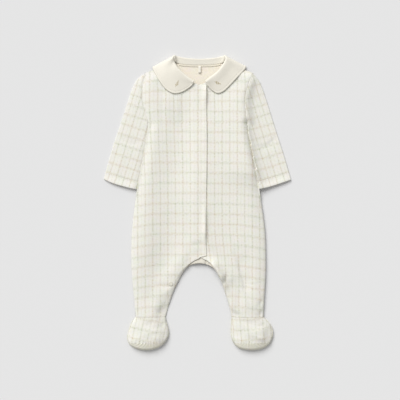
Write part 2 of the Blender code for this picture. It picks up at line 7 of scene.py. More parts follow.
import logging
import math
from collections.abc import Callable
from dataclasses import dataclass, field
from enum import Enum
from functools import cached_property
from typing import TypeVar

import bmesh
import bpy
import numpy as np
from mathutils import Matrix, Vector


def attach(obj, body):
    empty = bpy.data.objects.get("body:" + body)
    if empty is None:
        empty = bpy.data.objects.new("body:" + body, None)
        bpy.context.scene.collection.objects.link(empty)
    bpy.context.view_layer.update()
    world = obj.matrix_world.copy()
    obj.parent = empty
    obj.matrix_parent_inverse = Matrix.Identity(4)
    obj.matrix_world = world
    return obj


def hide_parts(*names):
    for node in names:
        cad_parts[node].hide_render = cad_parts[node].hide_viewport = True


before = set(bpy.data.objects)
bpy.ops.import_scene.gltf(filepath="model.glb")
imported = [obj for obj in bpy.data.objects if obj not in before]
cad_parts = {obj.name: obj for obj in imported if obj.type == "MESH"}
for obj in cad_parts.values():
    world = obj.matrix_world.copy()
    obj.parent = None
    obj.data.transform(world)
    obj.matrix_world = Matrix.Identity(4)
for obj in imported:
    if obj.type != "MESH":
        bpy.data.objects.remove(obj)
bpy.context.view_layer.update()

log = logging.getLogger("sleepsuit")

Array = np.ndarray
Points = tuple[tuple[float, ...], ...]
Height = Callable[[Array, Array], Array]
Colour = tuple[float, float, float, float]
Piece = bpy.types.Object
Material = bpy.types.Material
Socket = bpy.types.NodeSocket
Value = TypeVar("Value")

MM = 0.001
CLOTH_MAP = "Cloth"


class Side(Enum):
    """The suit's sides, as seen from above."""

    LEFT = "left"
    RIGHT = "right"

    @property
    def sign(self) -> int:
        """Which way along X the side lies."""
        return -1 if self is Side.LEFT else 1

    @property
    def column(self) -> int:
        """Which value of a table's row is the side's, after its y."""
        return 1 if self is Side.LEFT else 2


def by_side(left: Value, right: Value) -> dict[Side, Value]:
    """A dataclass field with a value for each side."""
    return field(default_factory=lambda: {Side.LEFT: left, Side.RIGHT: right})


def side_value(values: dict[Side, float], x: Array) -> Array:
    """The value of the side that each point lies on."""
    return np.where(x < 0, values[Side.LEFT], values[Side.RIGHT])


class Slot(Enum):
    """The record's material slots."""

    CHECKED = "checked_jersey"
    PLAIN = "plain_jersey"
    TAPE = "cotton_tape"
    POPPER = "popper_plastic"


# ---------------------------------------------------------------- curves


def soft_step(t: Array) -> Array:
    """Rises smoothly from 0 to 1 as t does, and is held there beyond."""
    t = np.clip(t, 0.0, 1.0)
    return t * t * (3 - 2 * t)


def round_rise(t: Array) -> Array:
    """Rises from 0 at a folded edge to 1 inside it, steeply at first, as t goes from 0 to 1."""
    return 1 - (1 - np.clip(t, 0.0, 1.0)) ** 2


def quarter_round(t: Array) -> Array:
    """Rises from 0 at a rim to 1 along a quarter circle, upright at first."""
    return np.sqrt(round_rise(t))


def bell(away: Array, reach: Array | float) -> Array:
    """Falls softly from 1 in the middle to 0 on both sides."""
    return np.exp(-((away / reach) ** 2))


def higher_of(one: Array, other: Array, blend: Array) -> Array:
    """The higher of two heights, blended softly where they cross."""
    return (one + other + np.sqrt((one - other) ** 2 + blend**2)) / 2


def unit(vectors: Array) -> Array:
    """Vectors of the same directions and of length 1."""
    return vectors / np.maximum(np.linalg.norm(vectors, axis=-1, keepdims=True), 1e-12)


def smooth_curve(points: Array, stations: Array, at: Array) -> Array:
    """Reads a smooth curve through points.

    Args:
        points: The curve's points, one a row.
        stations: The growing station of each point.
        at: The stations to read.

    Returns:
        One row for each station read.
    """
    points, stations = np.asarray(points, float), np.asarray(stations, float)
    count = len(points)
    before = np.maximum(np.arange(count) - 1, 0)
    after = np.minimum(np.arange(count) + 1, count - 1)
    slopes = (points[after] - points[before]) / (stations[after] - stations[before])[:, None]
    at = np.asarray(at, float)
    i = np.searchsorted(stations[1:-1], at)
    span = (stations[i + 1] - stations[i])[..., None]
    t = (at - stations[i])[..., None] / span
    ease = t * t * (3 - 2 * t)
    return (
        points[i] * (1 - ease)
        + points[i + 1] * ease
        + slopes[i] * span * t * (1 - t) ** 2
        - slopes[i + 1] * span * t * t * (1 - t)
    )


def lengths_along(points: Array) -> Array:
    """The distance along a line of points, from 0 at the first."""
    steps = np.linalg.norm(np.diff(np.asarray(points, float), axis=0), axis=1)
    return np.concatenate([[0.0], np.cumsum(steps)])


def trace(points: Points | Array, shares: Array) -> Array:
    """A smooth curve through points, read at shares of its length.

    Args:
        points: The points, in any number of dimensions.
        shares: Where to read, from 0 to 1.

    Returns:
        One point for each share.
    """
    stations = lengths_along(points)
    return smooth_curve(points, stations, np.asarray(shares) * stations[-1])


def even(count: int) -> Array:
    """Shares from 0 to 1 in that many equal steps."""
    return np.linspace(0, 1, count + 1)


def read_table(table: Points, column: int, y: Array) -> Array:
    """Reads a column of a table that runs down in y, smoothly between its rows.

    Args:
        table: Rows that start with their y.
        column: Which value of the rows to read.
        y: The heights to read at, held at the table's ends.

    Returns:
        The column's value at each y.
    """
    rows = np.asarray(table, float)
    drops = rows[0, 0] - rows[:, 0]
    at = np.clip(rows[0, 0] - np.asarray(y, float), 0, drops[-1])
    return smooth_curve(rows[:, column, None], drops, at)[..., 0]


def near_line(x: Array, y: Array, line: Array) -> tuple[Array, Array]:
    """How far points lie from a line, and to which side.

    Args:
        x: The points' x.
        y: The points' y.
        line: The line's plan points.

    Returns:
        The signed distance, positive to the line's left, and the share along the line that is nearest.
    """
    best = np.full(np.shape(x), np.inf)
    signed, along = np.zeros(np.shape(x)), np.zeros(np.shape(x))
    stations = lengths_along(line)
    for k, (start, end) in enumerate(zip(line, line[1:])):
        dx, dy = end - start
        t = np.clip(((x - start[0]) * dx + (y - start[1]) * dy) / (dx * dx + dy * dy), 0, 1)
        off_x, off_y = x - start[0] - t * dx, y - start[1] - t * dy
        away = np.hypot(off_x, off_y)
        nearer = away < best
        best = np.where(nearer, away, best)
        signed = np.where(nearer, np.where(dx * off_y - dy * off_x < 0, -away, away), signed)
        share = (stations[k] + t * (stations[k + 1] - stations[k])) / stations[-1]
        along = np.where(nearer, share, along)
    return signed, along


def distance_to(x: Array, y: Array, *lines: Array) -> Array:
    """How far points lie from the nearest of some lines."""
    return np.min([np.abs(near_line(x, y, line)[0]) for line in lines], axis=0)


def patch(left: Array, right: Array, top: Array, bottom: Array, shares: Array) -> Array:
    """A grid of plan points inside four edges (a Coons patch).

    Args:
        left: The left edge, from top to bottom.
        right: The right edge, from top to bottom.
        top: The top edge, from left to right.
        bottom: The bottom edge, from left to right.
        shares: The columns' shares of the width.

    Returns:
        The points, as rows by columns by 2.
    """
    v = even(len(left) - 1)[:, None, None]
    u = np.asarray(shares)[None, :, None]
    sides = left[:, None] * (1 - u) + right[:, None] * u + top[None] * (1 - v) + bottom[None] * v
    corners = (left[0] * (1 - u) + right[0] * u) * (1 - v) + (left[-1] * (1 - u) + right[-1] * u) * v
    return sides - corners


def across(one: Array, other: Array, shares: Array) -> Array:
    """Rows of plan points from one edge to the other, with a point at each share of the way."""
    u = np.asarray(shares)[None, :, None]
    return one[:, None] * (1 - u) + other[:, None] * u


def stepped(*stops: tuple[float, int]) -> Array:
    """Values in equal steps from stop to stop.

    Args:
        stops: Each stop's value, and how many steps lead to it from the stop before.

    Returns:
        The values, with the first stop and without repeats.
    """
    parts = [np.array([stops[0][0]])]
    for (start, _), (end, steps) in zip(stops, stops[1:]):
        parts.append(np.linspace(start, end, steps + 1)[1:])
    return np.concatenate(parts)


# ---------------------------------------------------------------- how the cloth lies


@dataclass(frozen=True)
class Crease:
    """A soft crease: a ridge, or a trough below zero, along a short line that fades at its ends."""

    name: str
    line: Points
    reach: float
    height: float
    lean: float = 0.0
    # at its ends: the share of the height, and over what share of the length it falls to that
    end_share: float = 0.35
    end_fade: float = 0.3

    def lift(self, x: Array, y: Array) -> Array:
        """How far the crease lifts the cloth.

        Args:
            x: The points' x.
            y: The points' y.

        Returns:
            The lift at each point. A lean widens the crease on the line's left and narrows it on its right.
        """
        line = trace(self.line, even(8)) if len(self.line) > 2 else np.asarray(self.line, float)
        away, along = near_line(x, y, line)
        fade = self.end_share + (1 - self.end_share) * soft_step(np.minimum(along, 1 - along) / self.end_fade)
        return self.height * fade * bell(away, self.reach * (1 + self.lean * np.sign(away)))


@dataclass(frozen=True)
class Unevenness:
    """The soft unevenness of laid cloth: seeded rolling heights of a few sizes."""

    # the rolls' sizes and heights
    rolls: Points = ((95.0, 0.5), (41.0, 0.2), (16.0, 0.055))
    seed: int = 11
    cells: int = 72
    # how far to the left of the origin, and below it, the cells start
    margin: float = 500.0

    def lift(self, x: Array, y: Array) -> Array:
        """The unevenness at each point.

        Args:
            x: The points' x.
            y: The points' y.

        Returns:
            The lift, on average 0.
        """
        chance = np.random.default_rng(self.seed)
        total = np.zeros(np.shape(x))
        for size, height in self.rolls:
            lattice = chance.uniform(-1, 1, (self.cells, self.cells))
            across_cells, down_cells = (x + self.margin) / size, (y + self.margin) / size
            i, j = np.floor(across_cells).astype(int), np.floor(down_cells).astype(int)
            s, t = soft_step(across_cells - i), soft_step(down_cells - j)
            i, j = i % (self.cells - 1), j % (self.cells - 1)
            low = lattice[i, j] * (1 - s) + lattice[i + 1, j] * s
            high = lattice[i, j + 1] * (1 - s) + lattice[i + 1, j + 1] * s
            total += height * (low * (1 - t) + high * t)
        return total


BODY_CREASES = (
    Crease(
        "left outer roll", ((-84, 200), (-84, 150), (-86, 90), (-90, 0), (-92, -90), (-92, -150)), 13, 1.1,
    ),
    Crease("left broad valley, chest", ((-62, 196), (-44, 160), (-34, 116), (-41, 60), (-46, 10)), 28, -3.8),
    Crease("left broad valley, leg", ((-46, 10), (-48, -40), (-52, -78), (-66, -118), (-82, -168)), 28, -3.8),
    Crease("left chest swell", ((-66, 176), (-26, 176)), 38, 2.6),
    Crease("placket swell", ((0, 196), (2, 60), (0, -66)), 28, 2.0),
    Crease("placket edge roll, high", ((14.5, 214), (14.5, 178)), 5, 2.0),
    Crease("placket edge roll, low", ((13.5, -4), (13.5, -70)), 5, 2.2),
    Crease("left thigh roll", ((-14, -84), (-34, -112), (-60, -140)), 13, 1.9),
    Crease("left knee fold", ((-77, -151), (-58, -153), (-43, -150)), 5, -0.9),
    Crease("left shin ridge", ((-74, -160), (-80, -196)), 9, 0.9),
    Crease("left inner ankle dent", ((-62, -190), (-65, -199), (-70, -208)), 9, -3.0, 0.3),
    Crease("left ankle fold", ((-84, -190), (-66, -193)), 4.5, 0.8),
    Crease("placket dip", ((-14, -79), (1, -76), (15, -72)), 5, -1.0),
    Crease(
        "right side roll", ((80, 232), (79, 165), (86, 118), (92, 88), (103, 40), (108, 10)), 28, 2.2, -0.62,
    ),
    Crease(
        "right thigh trough",
        ((70, -92), (77, -109), (80, -124), (84, -138), (87, -153), (90, -170)), 8, -2.8, 0.5,
    ),
    Crease("right knee step", ((46, -149), (66, -151.5), (86, -149)), 24, -1.8, -0.5),
    Crease("right knee fold, first", ((54, -130), (49, -149)), 3.2, -1.5),
    Crease("right knee fold, second", ((60, -134), (62, -146)), 3.6, 0.9),
    Crease("right thigh fold", ((92, -70), (97, -120), (92, -168)), 8, -0.8),
    Crease("right shin fold", ((78, -158), (76, -196)), 7, -0.9),
    Crease("right outer ankle tuck", ((124, -172), (113, -190)), 4, -1.8),
    Crease("right outer ankle fold", ((123, -194), (114, -208)), 4, -2.0),
    Crease("right inner ankle fold", ((63, -203), (79, -207)), 3.5, -1.5),
)

SLEEVE_CREASES = (
    Crease("left elbow fold", ((-148, 122), (-122, 108), (-104, 112)), 6, -0.6, 0.4),
    Crease("left forearm roll", ((-136, 96), (-150, 46)), 8, 0.4),
    Crease("right elbow fold", ((150, 126), (128, 106), (110, 104)), 6, -0.9, 0.4),
    Crease("right forearm valley", ((134, 92), (144, 44)), 7, -0.5),
)

FOOT_CREASES = (
    Crease("left instep fold", ((-76, -214), (-92, -224), (-106, -222)), 5, -0.9),
    Crease("left inner heel tuck", ((-57, -216), (-66, -228)), 4, -1.6),
    Crease("left vamp drag", ((-66, -232), (-88, -248)), 6, -0.8),
    Crease("right instep fold", ((76, -213), (92, -221), (110, -219)), 5, -0.9),
    Crease("right outer heel tuck", ((126, -218), (114, -228)), 4, -0.6),
    Crease("right vamp drag", ((118, -240), (100, -250)), 6, -0.6),
    Crease("left inner swell", ((-72, -226), (-70, -240), (-74, -256)), 14, 3.0, -0.4),
    Crease("right outer swell", ((117, -224), (119, -240), (115, -256)), 15, 5.0, -0.35),
)


@dataclass(frozen=True)
class SuitForm:
    """The suit's plan outlines and the heights of its layers."""

    wall: float = 1.0
    sleeve_round: float = 18.0
    tuck_lift: float = 2.6
    shoulder_y: float = 240.0
    armpit_y: float = 146.0
    ankle_y: float = -210.0
    yoke_y: float = 190.0
    placket_end_y: float = -98.0
    placket_x: float = 4.0
    underlap_x: float = 2.0
    overlap_lift: float = 1.35
    collar_lift: float = 1.9
    neck_centre_x: float = 4.0
    back_neck_y: float = 254.0
    arch_top_x: float = 3.0
    # at the body's edge: how much further the sleeve lifts it
    edge_lift: dict[Side, float] = by_side(0.0, 3.0)
    # at the armhole seams: the share of the front's height that is lost, and over what width it falls
    armhole_loss: dict[Side, float] = by_side(0.7, 0.15)
    armhole_fall: dict[Side, float] = by_side(22.0, 5.5)
    # y, then the left and the right edge
    body: Points = (
        (240, -95, 102),
        (217, -101, 93),
        (190, -101, 87),
        (165, -94.5, 88.5),
        (146, -91, 91),
        (118, -94.5, 95.5),
        (88, -99.5, 101),
        (24, -111.5, 114),
        (-45, -120, 124),
        (-90, -122, 126),
        (-130, -121, 126),
        (-185, -116, 123),
        (-210, -114, 122),
    )
    neckline: Points = (
        (258, -40, 48), (253, -42, 50), (245, -38, 47), (235, -29, 38), (225, -17, 25), (217, 4, 2),
    )
    # y, then the left and the right front's inner edge below the placket
    front_inseam: Points = (
        (-98.0, 4, 2),
        (-101.5, 3.4, 8),
        (-105.0, -4.5, 16),
        (-109.5, -11, 23),
        (-114.5, -17.5, 27.6),
        (-128, -26.5, 35.5),
        (-142, -34, 42.5),
        (-162, -43.8, 49.5),
        (-185, -52, 57),
        (-210, -59, 63),
    )
    arch: Points = ((-111, 3, 3), (-112.5, -7, 15.5), (-117.5, -17.5, 27))
    feet: dict[Side, Points] = by_side(
        (
            (-114, -210), (-121, -219), (-126, -232), (-129.5, -248), (-125, -260.5), (-111, -268.5),
            (-95, -271), (-78, -268.5), (-63, -260), (-54, -246), (-53.5, -234), (-57, -220), (-59, -210),
        ),
        (
            (63, -210), (61.5, -228), (61.5, -243), (66, -257), (76, -266.5), (92, -270.5), (108, -270.5),
            (123, -266.5), (134, -257), (139, -242), (137, -228), (129, -217), (122, -210),
        ),
    )
    sleeve_outer: dict[Side, Points] = by_side(
        ((-95, 241), (-109, 230), (-119, 214), (-126, 193), (-142, 145), (-160, 90), (-173, 43)),
        ((102, 240), (113, 226), (119, 213), (126, 193), (143, 139), (161, 83), (173, 42)),
    )
    # y, the fold's own height and its round, the height inside it (left, right) and its reach (left, right)
    folds: Points = (
        (280, 1.2, 1.6, 3.8, 4.6, 22, 14),
        (50, 1.2, 1.6, 4.0, 4.6, 22, 16),
        (0, 1.2, 1.6, 4.2, 4.6, 22, 28),
        (-60, 1.2, 1.6, 4.4, 4.8, 22, 28),
        (-120, 1.6, 2.0, 4.2, 4.6, 20, 26),
        (-165, 2.2, 2.6, 4.0, 4.2, 24, 22),
        (-198, 3.0, 3.2, 4.6, 4.4, 27, 22),
        (-222, 3.6, 4.0, 5.2, 5.0, 30, 28),
        (-241, 4.2, 4.0, 6.2, 6.0, 35, 35),
        (-257, 6.6, 3.6, 5.0, 4.8, 22, 22),
        (-280, 6.6, 3.6, 5.0, 4.8, 20, 20),
    )
    # at the inside legs: the share of the reach that is left of it
    inseam_reach: dict[Side, float] = by_side(0.36, 0.3)
    # beside the right sleeve, y and how high the body is stacked, over what width it rises, and its reach
    stack: Points = (
        (262, 0), (246, 0.6), (226, 3.6), (200, 6.2), (140, 8), (60, 8.5), (38, 5.4), (16, 3.4),
        (-120, 3), (-180, 2.4), (-206, 0),
    )
    stack_round: float = 4.0
    stack_reach: float = 56.0
    # where the crotch arch and the right inside leg stand off the floor
    stands: tuple[Crease, ...] = (
        Crease("crotch arch", ((-14, -115), (3, -111), (20, -114)), 15, 5.2),
        Crease("right inside leg", ((14, -104), (24, -110), (33, -122), (40, -136), (46, -152)), 12, 8.0),
    )
    # the share of that rise that the front's own height gives up
    stand_share: float = 0.3
    # how much higher the fold is along the right inside leg and beside the feet, or lower at the left ankle
    walls: tuple[Crease, ...] = (
        Crease("right inside leg wall", ((18, -106), (27, -114), (36, -127), (46, -150)), 9, 6.0),
        Crease("left foot wall", ((-58, -212), (-54, -232), (-56, -248), (-64, -258)), 9, 1.6),
        Crease("left ankle hollow", ((-52, -184), (-57, -200), (-61, -214)), 12, -2.4),
        Crease("right foot wall", ((126, -214), (137, -230), (138, -246), (131, -258)), 9, 1.2),
    )
    # the room that the crotch facing takes: its left and right ends, its low and high edge, and its height
    facing_room: tuple[float, ...] = (-20, 27, -119, -93, 1.3)
    unevenness: Unevenness = Unevenness()

    @cached_property
    def back_inseam(self) -> Points:
        """The back's inner edges: the crotch arch, then the front's inside legs."""
        return (*self.arch, *self.front_inseam[5:])

    def body_x(self, side: Side, y: Array) -> Array:
        """The x of the body's edge on one side, at each y."""
        return read_table(self.body, side.column, y)

    def body_edge(self, side: Side, y: Array) -> Array:
        """The plan points of the body's edge on one side, at each y."""
        return np.stack([self.body_x(side, y), y], axis=1)

    def inseam_edge(self, table: Points, side: Side, y: Array) -> Array:
        """The plan points of an inner edge on one side, at each y."""
        return np.stack([read_table(table, side.column, y), y], axis=1)

    @cached_property
    def body_fold(self) -> Array:
        """The line where front and back meet: sides, feet, inside legs and crotch arch."""
        down = np.linspace(self.armpit_y, self.ankle_y, 28)
        inner = self.arch[0][0] + (self.ankle_y - self.arch[0][0]) * even(22) ** 2
        parts = [
            self.body_edge(Side.LEFT, down),
            trace(self.feet[Side.LEFT], even(32)),
            self.inseam_edge(self.back_inseam, Side.LEFT, inner)[::-1],
            self.inseam_edge(self.back_inseam, Side.RIGHT, inner),
            trace(self.feet[Side.RIGHT], even(32)),
            self.body_edge(Side.RIGHT, down)[::-1],
        ]
        joined = np.concatenate(parts)
        moved = np.linalg.norm(np.diff(joined, axis=0), axis=1) > 1e-6
        return joined[np.concatenate([[True], moved])]

    @cached_property
    def outer_folds(self) -> dict[Side, Array]:
        """The lines over the shoulders and down the sleeves' outer folds."""
        starts = {Side.LEFT: (-42, 260), Side.RIGHT: (50, 260)}
        return {s: np.vstack([starts[s], trace(self.sleeve_outer[s], even(18))]) for s in Side}

    @cached_property
    def armholes(self) -> dict[Side, Array]:
        """The armhole seams, from the shoulder tips to the underarms."""
        return {s: self.body_edge(s, np.linspace(self.shoulder_y, self.armpit_y, 16)) for s in Side}

    @cached_property
    def flap_hems(self) -> list[Array]:
        """The lower edges of the two fronts at the crotch."""
        y = np.linspace(-98.5, -110, 8)
        return [self.inseam_edge(self.front_inseam, side, y) for side in Side]

    def inside_folds(self, x: Array, y: Array) -> Array:
        """How far points lie inside the nearest folded edge."""
        return distance_to(x, y, self.body_fold, *self.outer_folds.values())

    def armhole_rise(self, x: Array, y: Array) -> Array:
        """The share of the front's height that is left near the armhole seams."""
        away = distance_to(x, y, *self.armholes.values())
        rise = round_rise(away / side_value(self.armhole_fall, x))
        return 1 - side_value(self.armhole_loss, x) * (1 - rise)

    def flank(self, x: Array, y: Array) -> Array:
        """How much of the folds' reach is left beside the inside legs."""
        inner = soft_step((88 - np.abs(x)) / 16) * soft_step((-100 - y) / 12)
        low = np.where(x < 0, soft_step((y + 178) / 26), soft_step((y + 204) / 12))
        return 1 - (1 - side_value(self.inseam_reach, x)) * inner * low

    def sleeve_bed(self, x: Array, y: Array) -> Array:
        """How far the tucked sleeves hold the back off the floor."""
        inside = np.where(x < 0, -self.body_x(Side.LEFT, y), self.body_x(Side.RIGHT, y)) - np.abs(x)
        tuck = 7 + 20 * soft_step((y - 10) / 90)
        more = side_value(self.edge_lift, x) * soft_step((13 - inside) / 13)
        lift = self.tuck_lift * soft_step((tuck + 16 - inside) / 14) + more
        return lift * soft_step((self.armpit_y + 40 - y) / 30) * soft_step((y + 6) / 24)

    def stand(self, x: Array, y: Array) -> Array:
        """How far the crotch arch and the right inside leg stand off the floor."""
        return np.max([crease.lift(x, y) for crease in self.stands], axis=0)

    def collar_bed(self, x: Array, y: Array) -> Array:
        """How far the collar's back fall holds the back off the floor."""
        fall_y = 223 + 26 * (np.abs(x - self.neck_centre_x) / 84) ** 3
        return self.collar_lift * soft_step((y - fall_y + 34) / 30)

    def back_lift(self, x: Array, y: Array) -> Array:
        """How far the back lies off the floor."""
        return np.maximum(self.collar_bed(x, y), self.sleeve_bed(x, y)) + self.stand(x, y)

    def held_up(self, x: Array, y: Array) -> Array:
        """How much of the front's own height the lifted back takes up."""
        return np.maximum(self.collar_bed(x, y), self.sleeve_bed(x, y)) + self.stand_share * self.stand(x, y)

    def back_top(self, x: Array, y: Array) -> Array:
        """The height of the back's inner face."""
        return self.back_lift(x, y) + self.wall

    def stacked(self, x: Array, y: Array) -> Array:
        """How much higher the front lies beside the right sleeve."""
        side = self.body_x(Side.RIGHT, y) - x
        edge = quarter_round(side / self.stack_round)
        edge = edge + (1 - edge) * soft_step((y - self.armpit_y + 24) / 34)
        return read_table(self.stack, 1, y) * edge * bell(side, self.stack_reach)

    def facing_gap(self, x: Array, y: Array) -> Array:
        """How much the crotch facing holds the front off the back."""
        low_x, high_x, low_y, high_y, height = self.facing_room
        room = soft_step((x - low_x) / 6) * soft_step((high_x - x) / 6)
        return height * room * soft_step((y - low_y) / 5) * soft_step((high_y - y) / 5)

    def gap(self, x: Array, y: Array, creases: tuple[Crease, ...] = BODY_CREASES) -> Array:
        """The clear height between the front and the back.

        Args:
            x: The points' x.
            y: The points' y.
            creases: The creases on these points.

        Returns:
            The height at each point, never below a hair's width.
        """
        inside = self.inside_folds(x, y)
        values = [read_table(self.folds, k, y) for k in range(1, len(self.folds[0]))]
        base, rim, crown, right_crown, reach, right_reach = values
        base = base + sum(wall.lift(x, y) for wall in self.walls)
        rightward = soft_step((x + 20) / 40)
        crown, reach = crown + (right_crown - crown) * rightward, reach + (right_reach - reach) * rightward
        rise = round_rise(inside / (reach * self.flank(x, y)))
        hem = distance_to(x, y, *self.flap_hems)
        rise = np.where(y > -200, np.minimum(rise, 0.25 + 0.75 * round_rise(hem / 42)), rise)
        lift = sum(crease.lift(x, y) for crease in creases) + self.unevenness.lift(x, y)
        edge = quarter_round(inside / rim)
        natural = (base * edge + crown * rise + lift * (0.15 + 0.85 * rise)) * self.armhole_rise(x, y)
        room = self.facing_gap(x, y)
        free = higher_of(natural + self.stacked(x, y) - self.held_up(x, y) - room, 0.0, 0.5 * rise)
        return room + 0.05 * edge + free

    def front_top(self, x: Array, y: Array) -> Array:
        """The height of the front's outer face, where one front lies on the back."""
        return self.back_top(x, y) + self.gap(x, y) + self.wall

    def over_lift(self, x: Array) -> Array:
        """How far the overlapping front rises towards the front under it."""
        return self.overlap_lift * soft_step((x + 18) / 14)

    def back_neck(self, x: Array) -> Array:
        """The y of the back neck seam at each x."""
        return self.back_neck_y + 4 * (np.abs(x - self.neck_centre_x) / 44) ** 3


FORM = SuitForm()


# ---------------------------------------------------------------- the cloth's own coordinates


@dataclass(frozen=True)
class Grain:
    """How a cut piece's cloth lies: where its check's lines fall, and how its grain turns."""

    column_x: float
    row_y: float
    turn: float = 0.0
    bend: float = 0.0

    def cloth(self, x: Array, y: Array) -> Array:
        """The cloth's own coordinates.

        Args:
            x: The points' x.
            y: The points' y.

        Returns:
            Distances across and along the grain, with the last axis holding both.
        """
        angle = math.radians(self.turn)
        dx, dy = x - self.column_x, y - self.row_y
        u = dx * math.cos(angle) + dy * math.sin(angle)
        v = -dx * math.sin(angle) + dy * math.cos(angle)
        return np.stack([u, v + self.bend * (u / 100) ** 2], axis=-1)


@dataclass(frozen=True)
class TrunkGrain(Grain):
    """The grain of a front or the back: rows droop outwards, and columns fan out or lean a little."""

    droop: float = 4.6
    lean: float = 0.0
    fan: float = 0.0

    def cloth(self, x: Array, y: Array) -> Array:
        """The cloth's own coordinates, as in Grain."""
        drooped = y + self.droop * (np.clip(np.abs(x) - 60, 0, None) / 48) ** 2
        leaning = self.lean * soft_step((-40 - y) / 90) * np.clip(1 - (np.abs(x) - 40) / 60, 0, 1)
        return super().cloth((x - leaning) / (1 + self.fan * soft_step((y - 25) / 160)), drooped)


# ---------------------------------------------------------------- meshes


def near_ends(grid: Array, offsets: tuple[float, ...], axis: int) -> Array:
    """Adds rows or columns close to both ends of a plan grid, for its rims.

    Args:
        grid: The plan points.
        offsets: How far from the end each is added.
        axis: 0 for rows and 1 for columns.

    Returns:
        The larger grid.
    """
    grid = np.moveaxis(grid, axis, 0)
    low = [grid[0] + unit(grid[1] - grid[0]) * offset for offset in offsets]
    high = [grid[-1] + unit(grid[-2] - grid[-1]) * offset for offset in offsets[::-1]]
    return np.moveaxis(np.concatenate([grid[:1], low, grid[1:-1], high, grid[-1:]]), 0, axis)


# how far inside a wall's rim its rounding has rows, as shares of its thickness
RIM_SHARES = (0.07, 0.25, 0.5)


def rim_profile(count: int) -> Array:
    """The share of the wall's half thickness at each row, from one rim to the other."""
    rounding = quarter_round(np.array((0.0, *RIM_SHARES)) / RIM_SHARES[-1])
    return np.concatenate([rounding, np.ones(count - 2 * len(rounding)), rounding[::-1]])


@dataclass
class Wall:
    """A closed cloth wall between two grids of points that meet at their rims."""

    outer: Array
    inner: Array
    cloth: Array

    @classmethod
    def cut(
        cls, plan: Array, height: Height, thickness: float, grain: Grain,
        joined: int = 0, rim: float | None = None,
    ) -> "Wall":
        """A wall whose upper face follows a height field.

        Args:
            plan: The plan points.
            height: The height of the upper face.
            thickness: The cloth's thickness.
            grain: How the cloth lies.
            joined: How many of the first rows have no rim at their last column, because they go on there.
            rim: The thickness that the rims' rows are spaced for, where it is another.

        Returns:
            The wall, with its upper face as the outer one.
        """
        offsets = tuple((rim or thickness) * share for share in RIM_SHARES)
        plan = near_ends(near_ends(plan, offsets, 1), offsets, 0)
        rows, columns = plan.shape[:2]
        profile = np.minimum(rim_profile(rows)[:, None], rim_profile(columns))
        if joined:
            joined += len(RIM_SHARES)
            profile[:joined, columns // 2 + 1 :] = rim_profile(rows)[:joined, None]
        half = profile * thickness / 2
        middle = height(plan[..., 0], plan[..., 1]) - thickness / 2
        outer, inner = (np.concatenate([plan, z[..., None]], axis=-1) for z in (middle + half, middle - half))
        return cls(outer, inner, grain.cloth(plan[..., 0], plan[..., 1]))


def grid_faces(shape: tuple[int, int], first: int, flip: bool) -> Array:
    """The quads of a grid of vertices.

    Args:
        shape: Rows and columns.
        first: The first vertex's number.
        flip: Whether the faces look the other way.

    Returns:
        Four vertex numbers for each quad.
    """
    numbers = np.arange(shape[0] * shape[1]).reshape(shape) + first
    quads = [numbers[:-1, :-1], numbers[1:, :-1], numbers[1:, 1:], numbers[:-1, 1:]]
    return np.stack(quads[::-1] if flip else quads, axis=-1).reshape(-1, 4)


def mesh_object(
    name: str, vertices: Array, faces: list[Array], cloth: Array, materials: list[Material]
) -> Piece:
    """Makes a closed, smooth object whose faces come in groups, one for each material.

    Args:
        name: The object's name.
        vertices: The points, in millimetres.
        faces: Groups of faces, as vertex numbers.
        cloth: The cloth's coordinates at each vertex, in millimetres.
        materials: The finish of each group.

    Returns:
        The object, in the scene.
    """
    mesh = bpy.data.meshes.new(name)
    mesh.from_pydata((vertices * MM).tolist(), [], [face for group in faces for face in group.tolist()])
    layer = mesh.uv_layers.new(name=CLOTH_MAP)
    corners = np.empty(len(mesh.loops), np.int32)
    mesh.loops.foreach_get("vertex_index", corners)
    layer.uv.foreach_set("vector", (cloth[corners] * MM).astype(np.float32).ravel())
    groups = np.concatenate([np.full(len(group), k, np.int32) for k, group in enumerate(faces)])
    mesh.polygons.foreach_set("material_index", groups)
    bm = bmesh.new()
    bm.from_mesh(mesh)
    bmesh.ops.remove_doubles(bm, verts=bm.verts[:], dist=0.004 * MM)
    bmesh.ops.recalc_face_normals(bm, faces=bm.faces[:])
    bm.to_mesh(mesh)
    bm.free()
    mesh.shade_smooth()
    for material in materials:
        mesh.materials.append(material)
    piece = bpy.data.objects.new(name, mesh)
    bpy.context.scene.collection.objects.link(piece)
    return piece


def wall_object(name: str, walls: list[Wall], outside: Material, inside: Material) -> Piece:
    """Makes one object of one or more walls that share their edges.

    Args:
        name: The object's name.
        walls: The walls.
        outside: The finish of the outer faces.
        inside: The finish of the inner faces.

    Returns:
        The object, in the scene.
    """
    vertices, cloth, outer_faces, inner_faces, first = [], [], [], [], 0
    for wall in walls:
        shape = wall.cloth.shape[:2]
        vertices += [wall.outer.reshape(-1, 3), wall.inner.reshape(-1, 3)]
        cloth += [wall.cloth.reshape(-1, 2)] * 2
        outer_faces.append(grid_faces(shape, first, False))
        inner_faces.append(grid_faces(shape, first + shape[0] * shape[1], True))
        first += 2 * shape[0] * shape[1]
    faces = [np.concatenate(outer_faces), np.concatenate(inner_faces)]
    return mesh_object(name, np.concatenate(vertices), faces, np.concatenate(cloth), [outside, inside])


def ring_object(
    name: str, grid: Array, cloth: Array, outer_rows: int, outside: Material, inside: Material
) -> Piece:
    """Makes one object of rings that close into a hollow form.

    Args:
        name: The object's name.
        grid: The rings' points, one ring a row.
        cloth: The cloth's coordinates at each point.
        outer_rows: How many of the first rows of faces are its outer face.
        outside: The finish of the outer face.
        inside: The finish of the rest.

    Returns:
        The object, in the scene.
    """
    faces = grid_faces(grid.shape[:2], 0, False)
    outer = outer_rows * (grid.shape[1] - 1)
    groups = [faces[:outer], faces[outer:]]
    return mesh_object(name, grid.reshape(-1, 3), groups, cloth.reshape(-1, 2), [outside, inside])


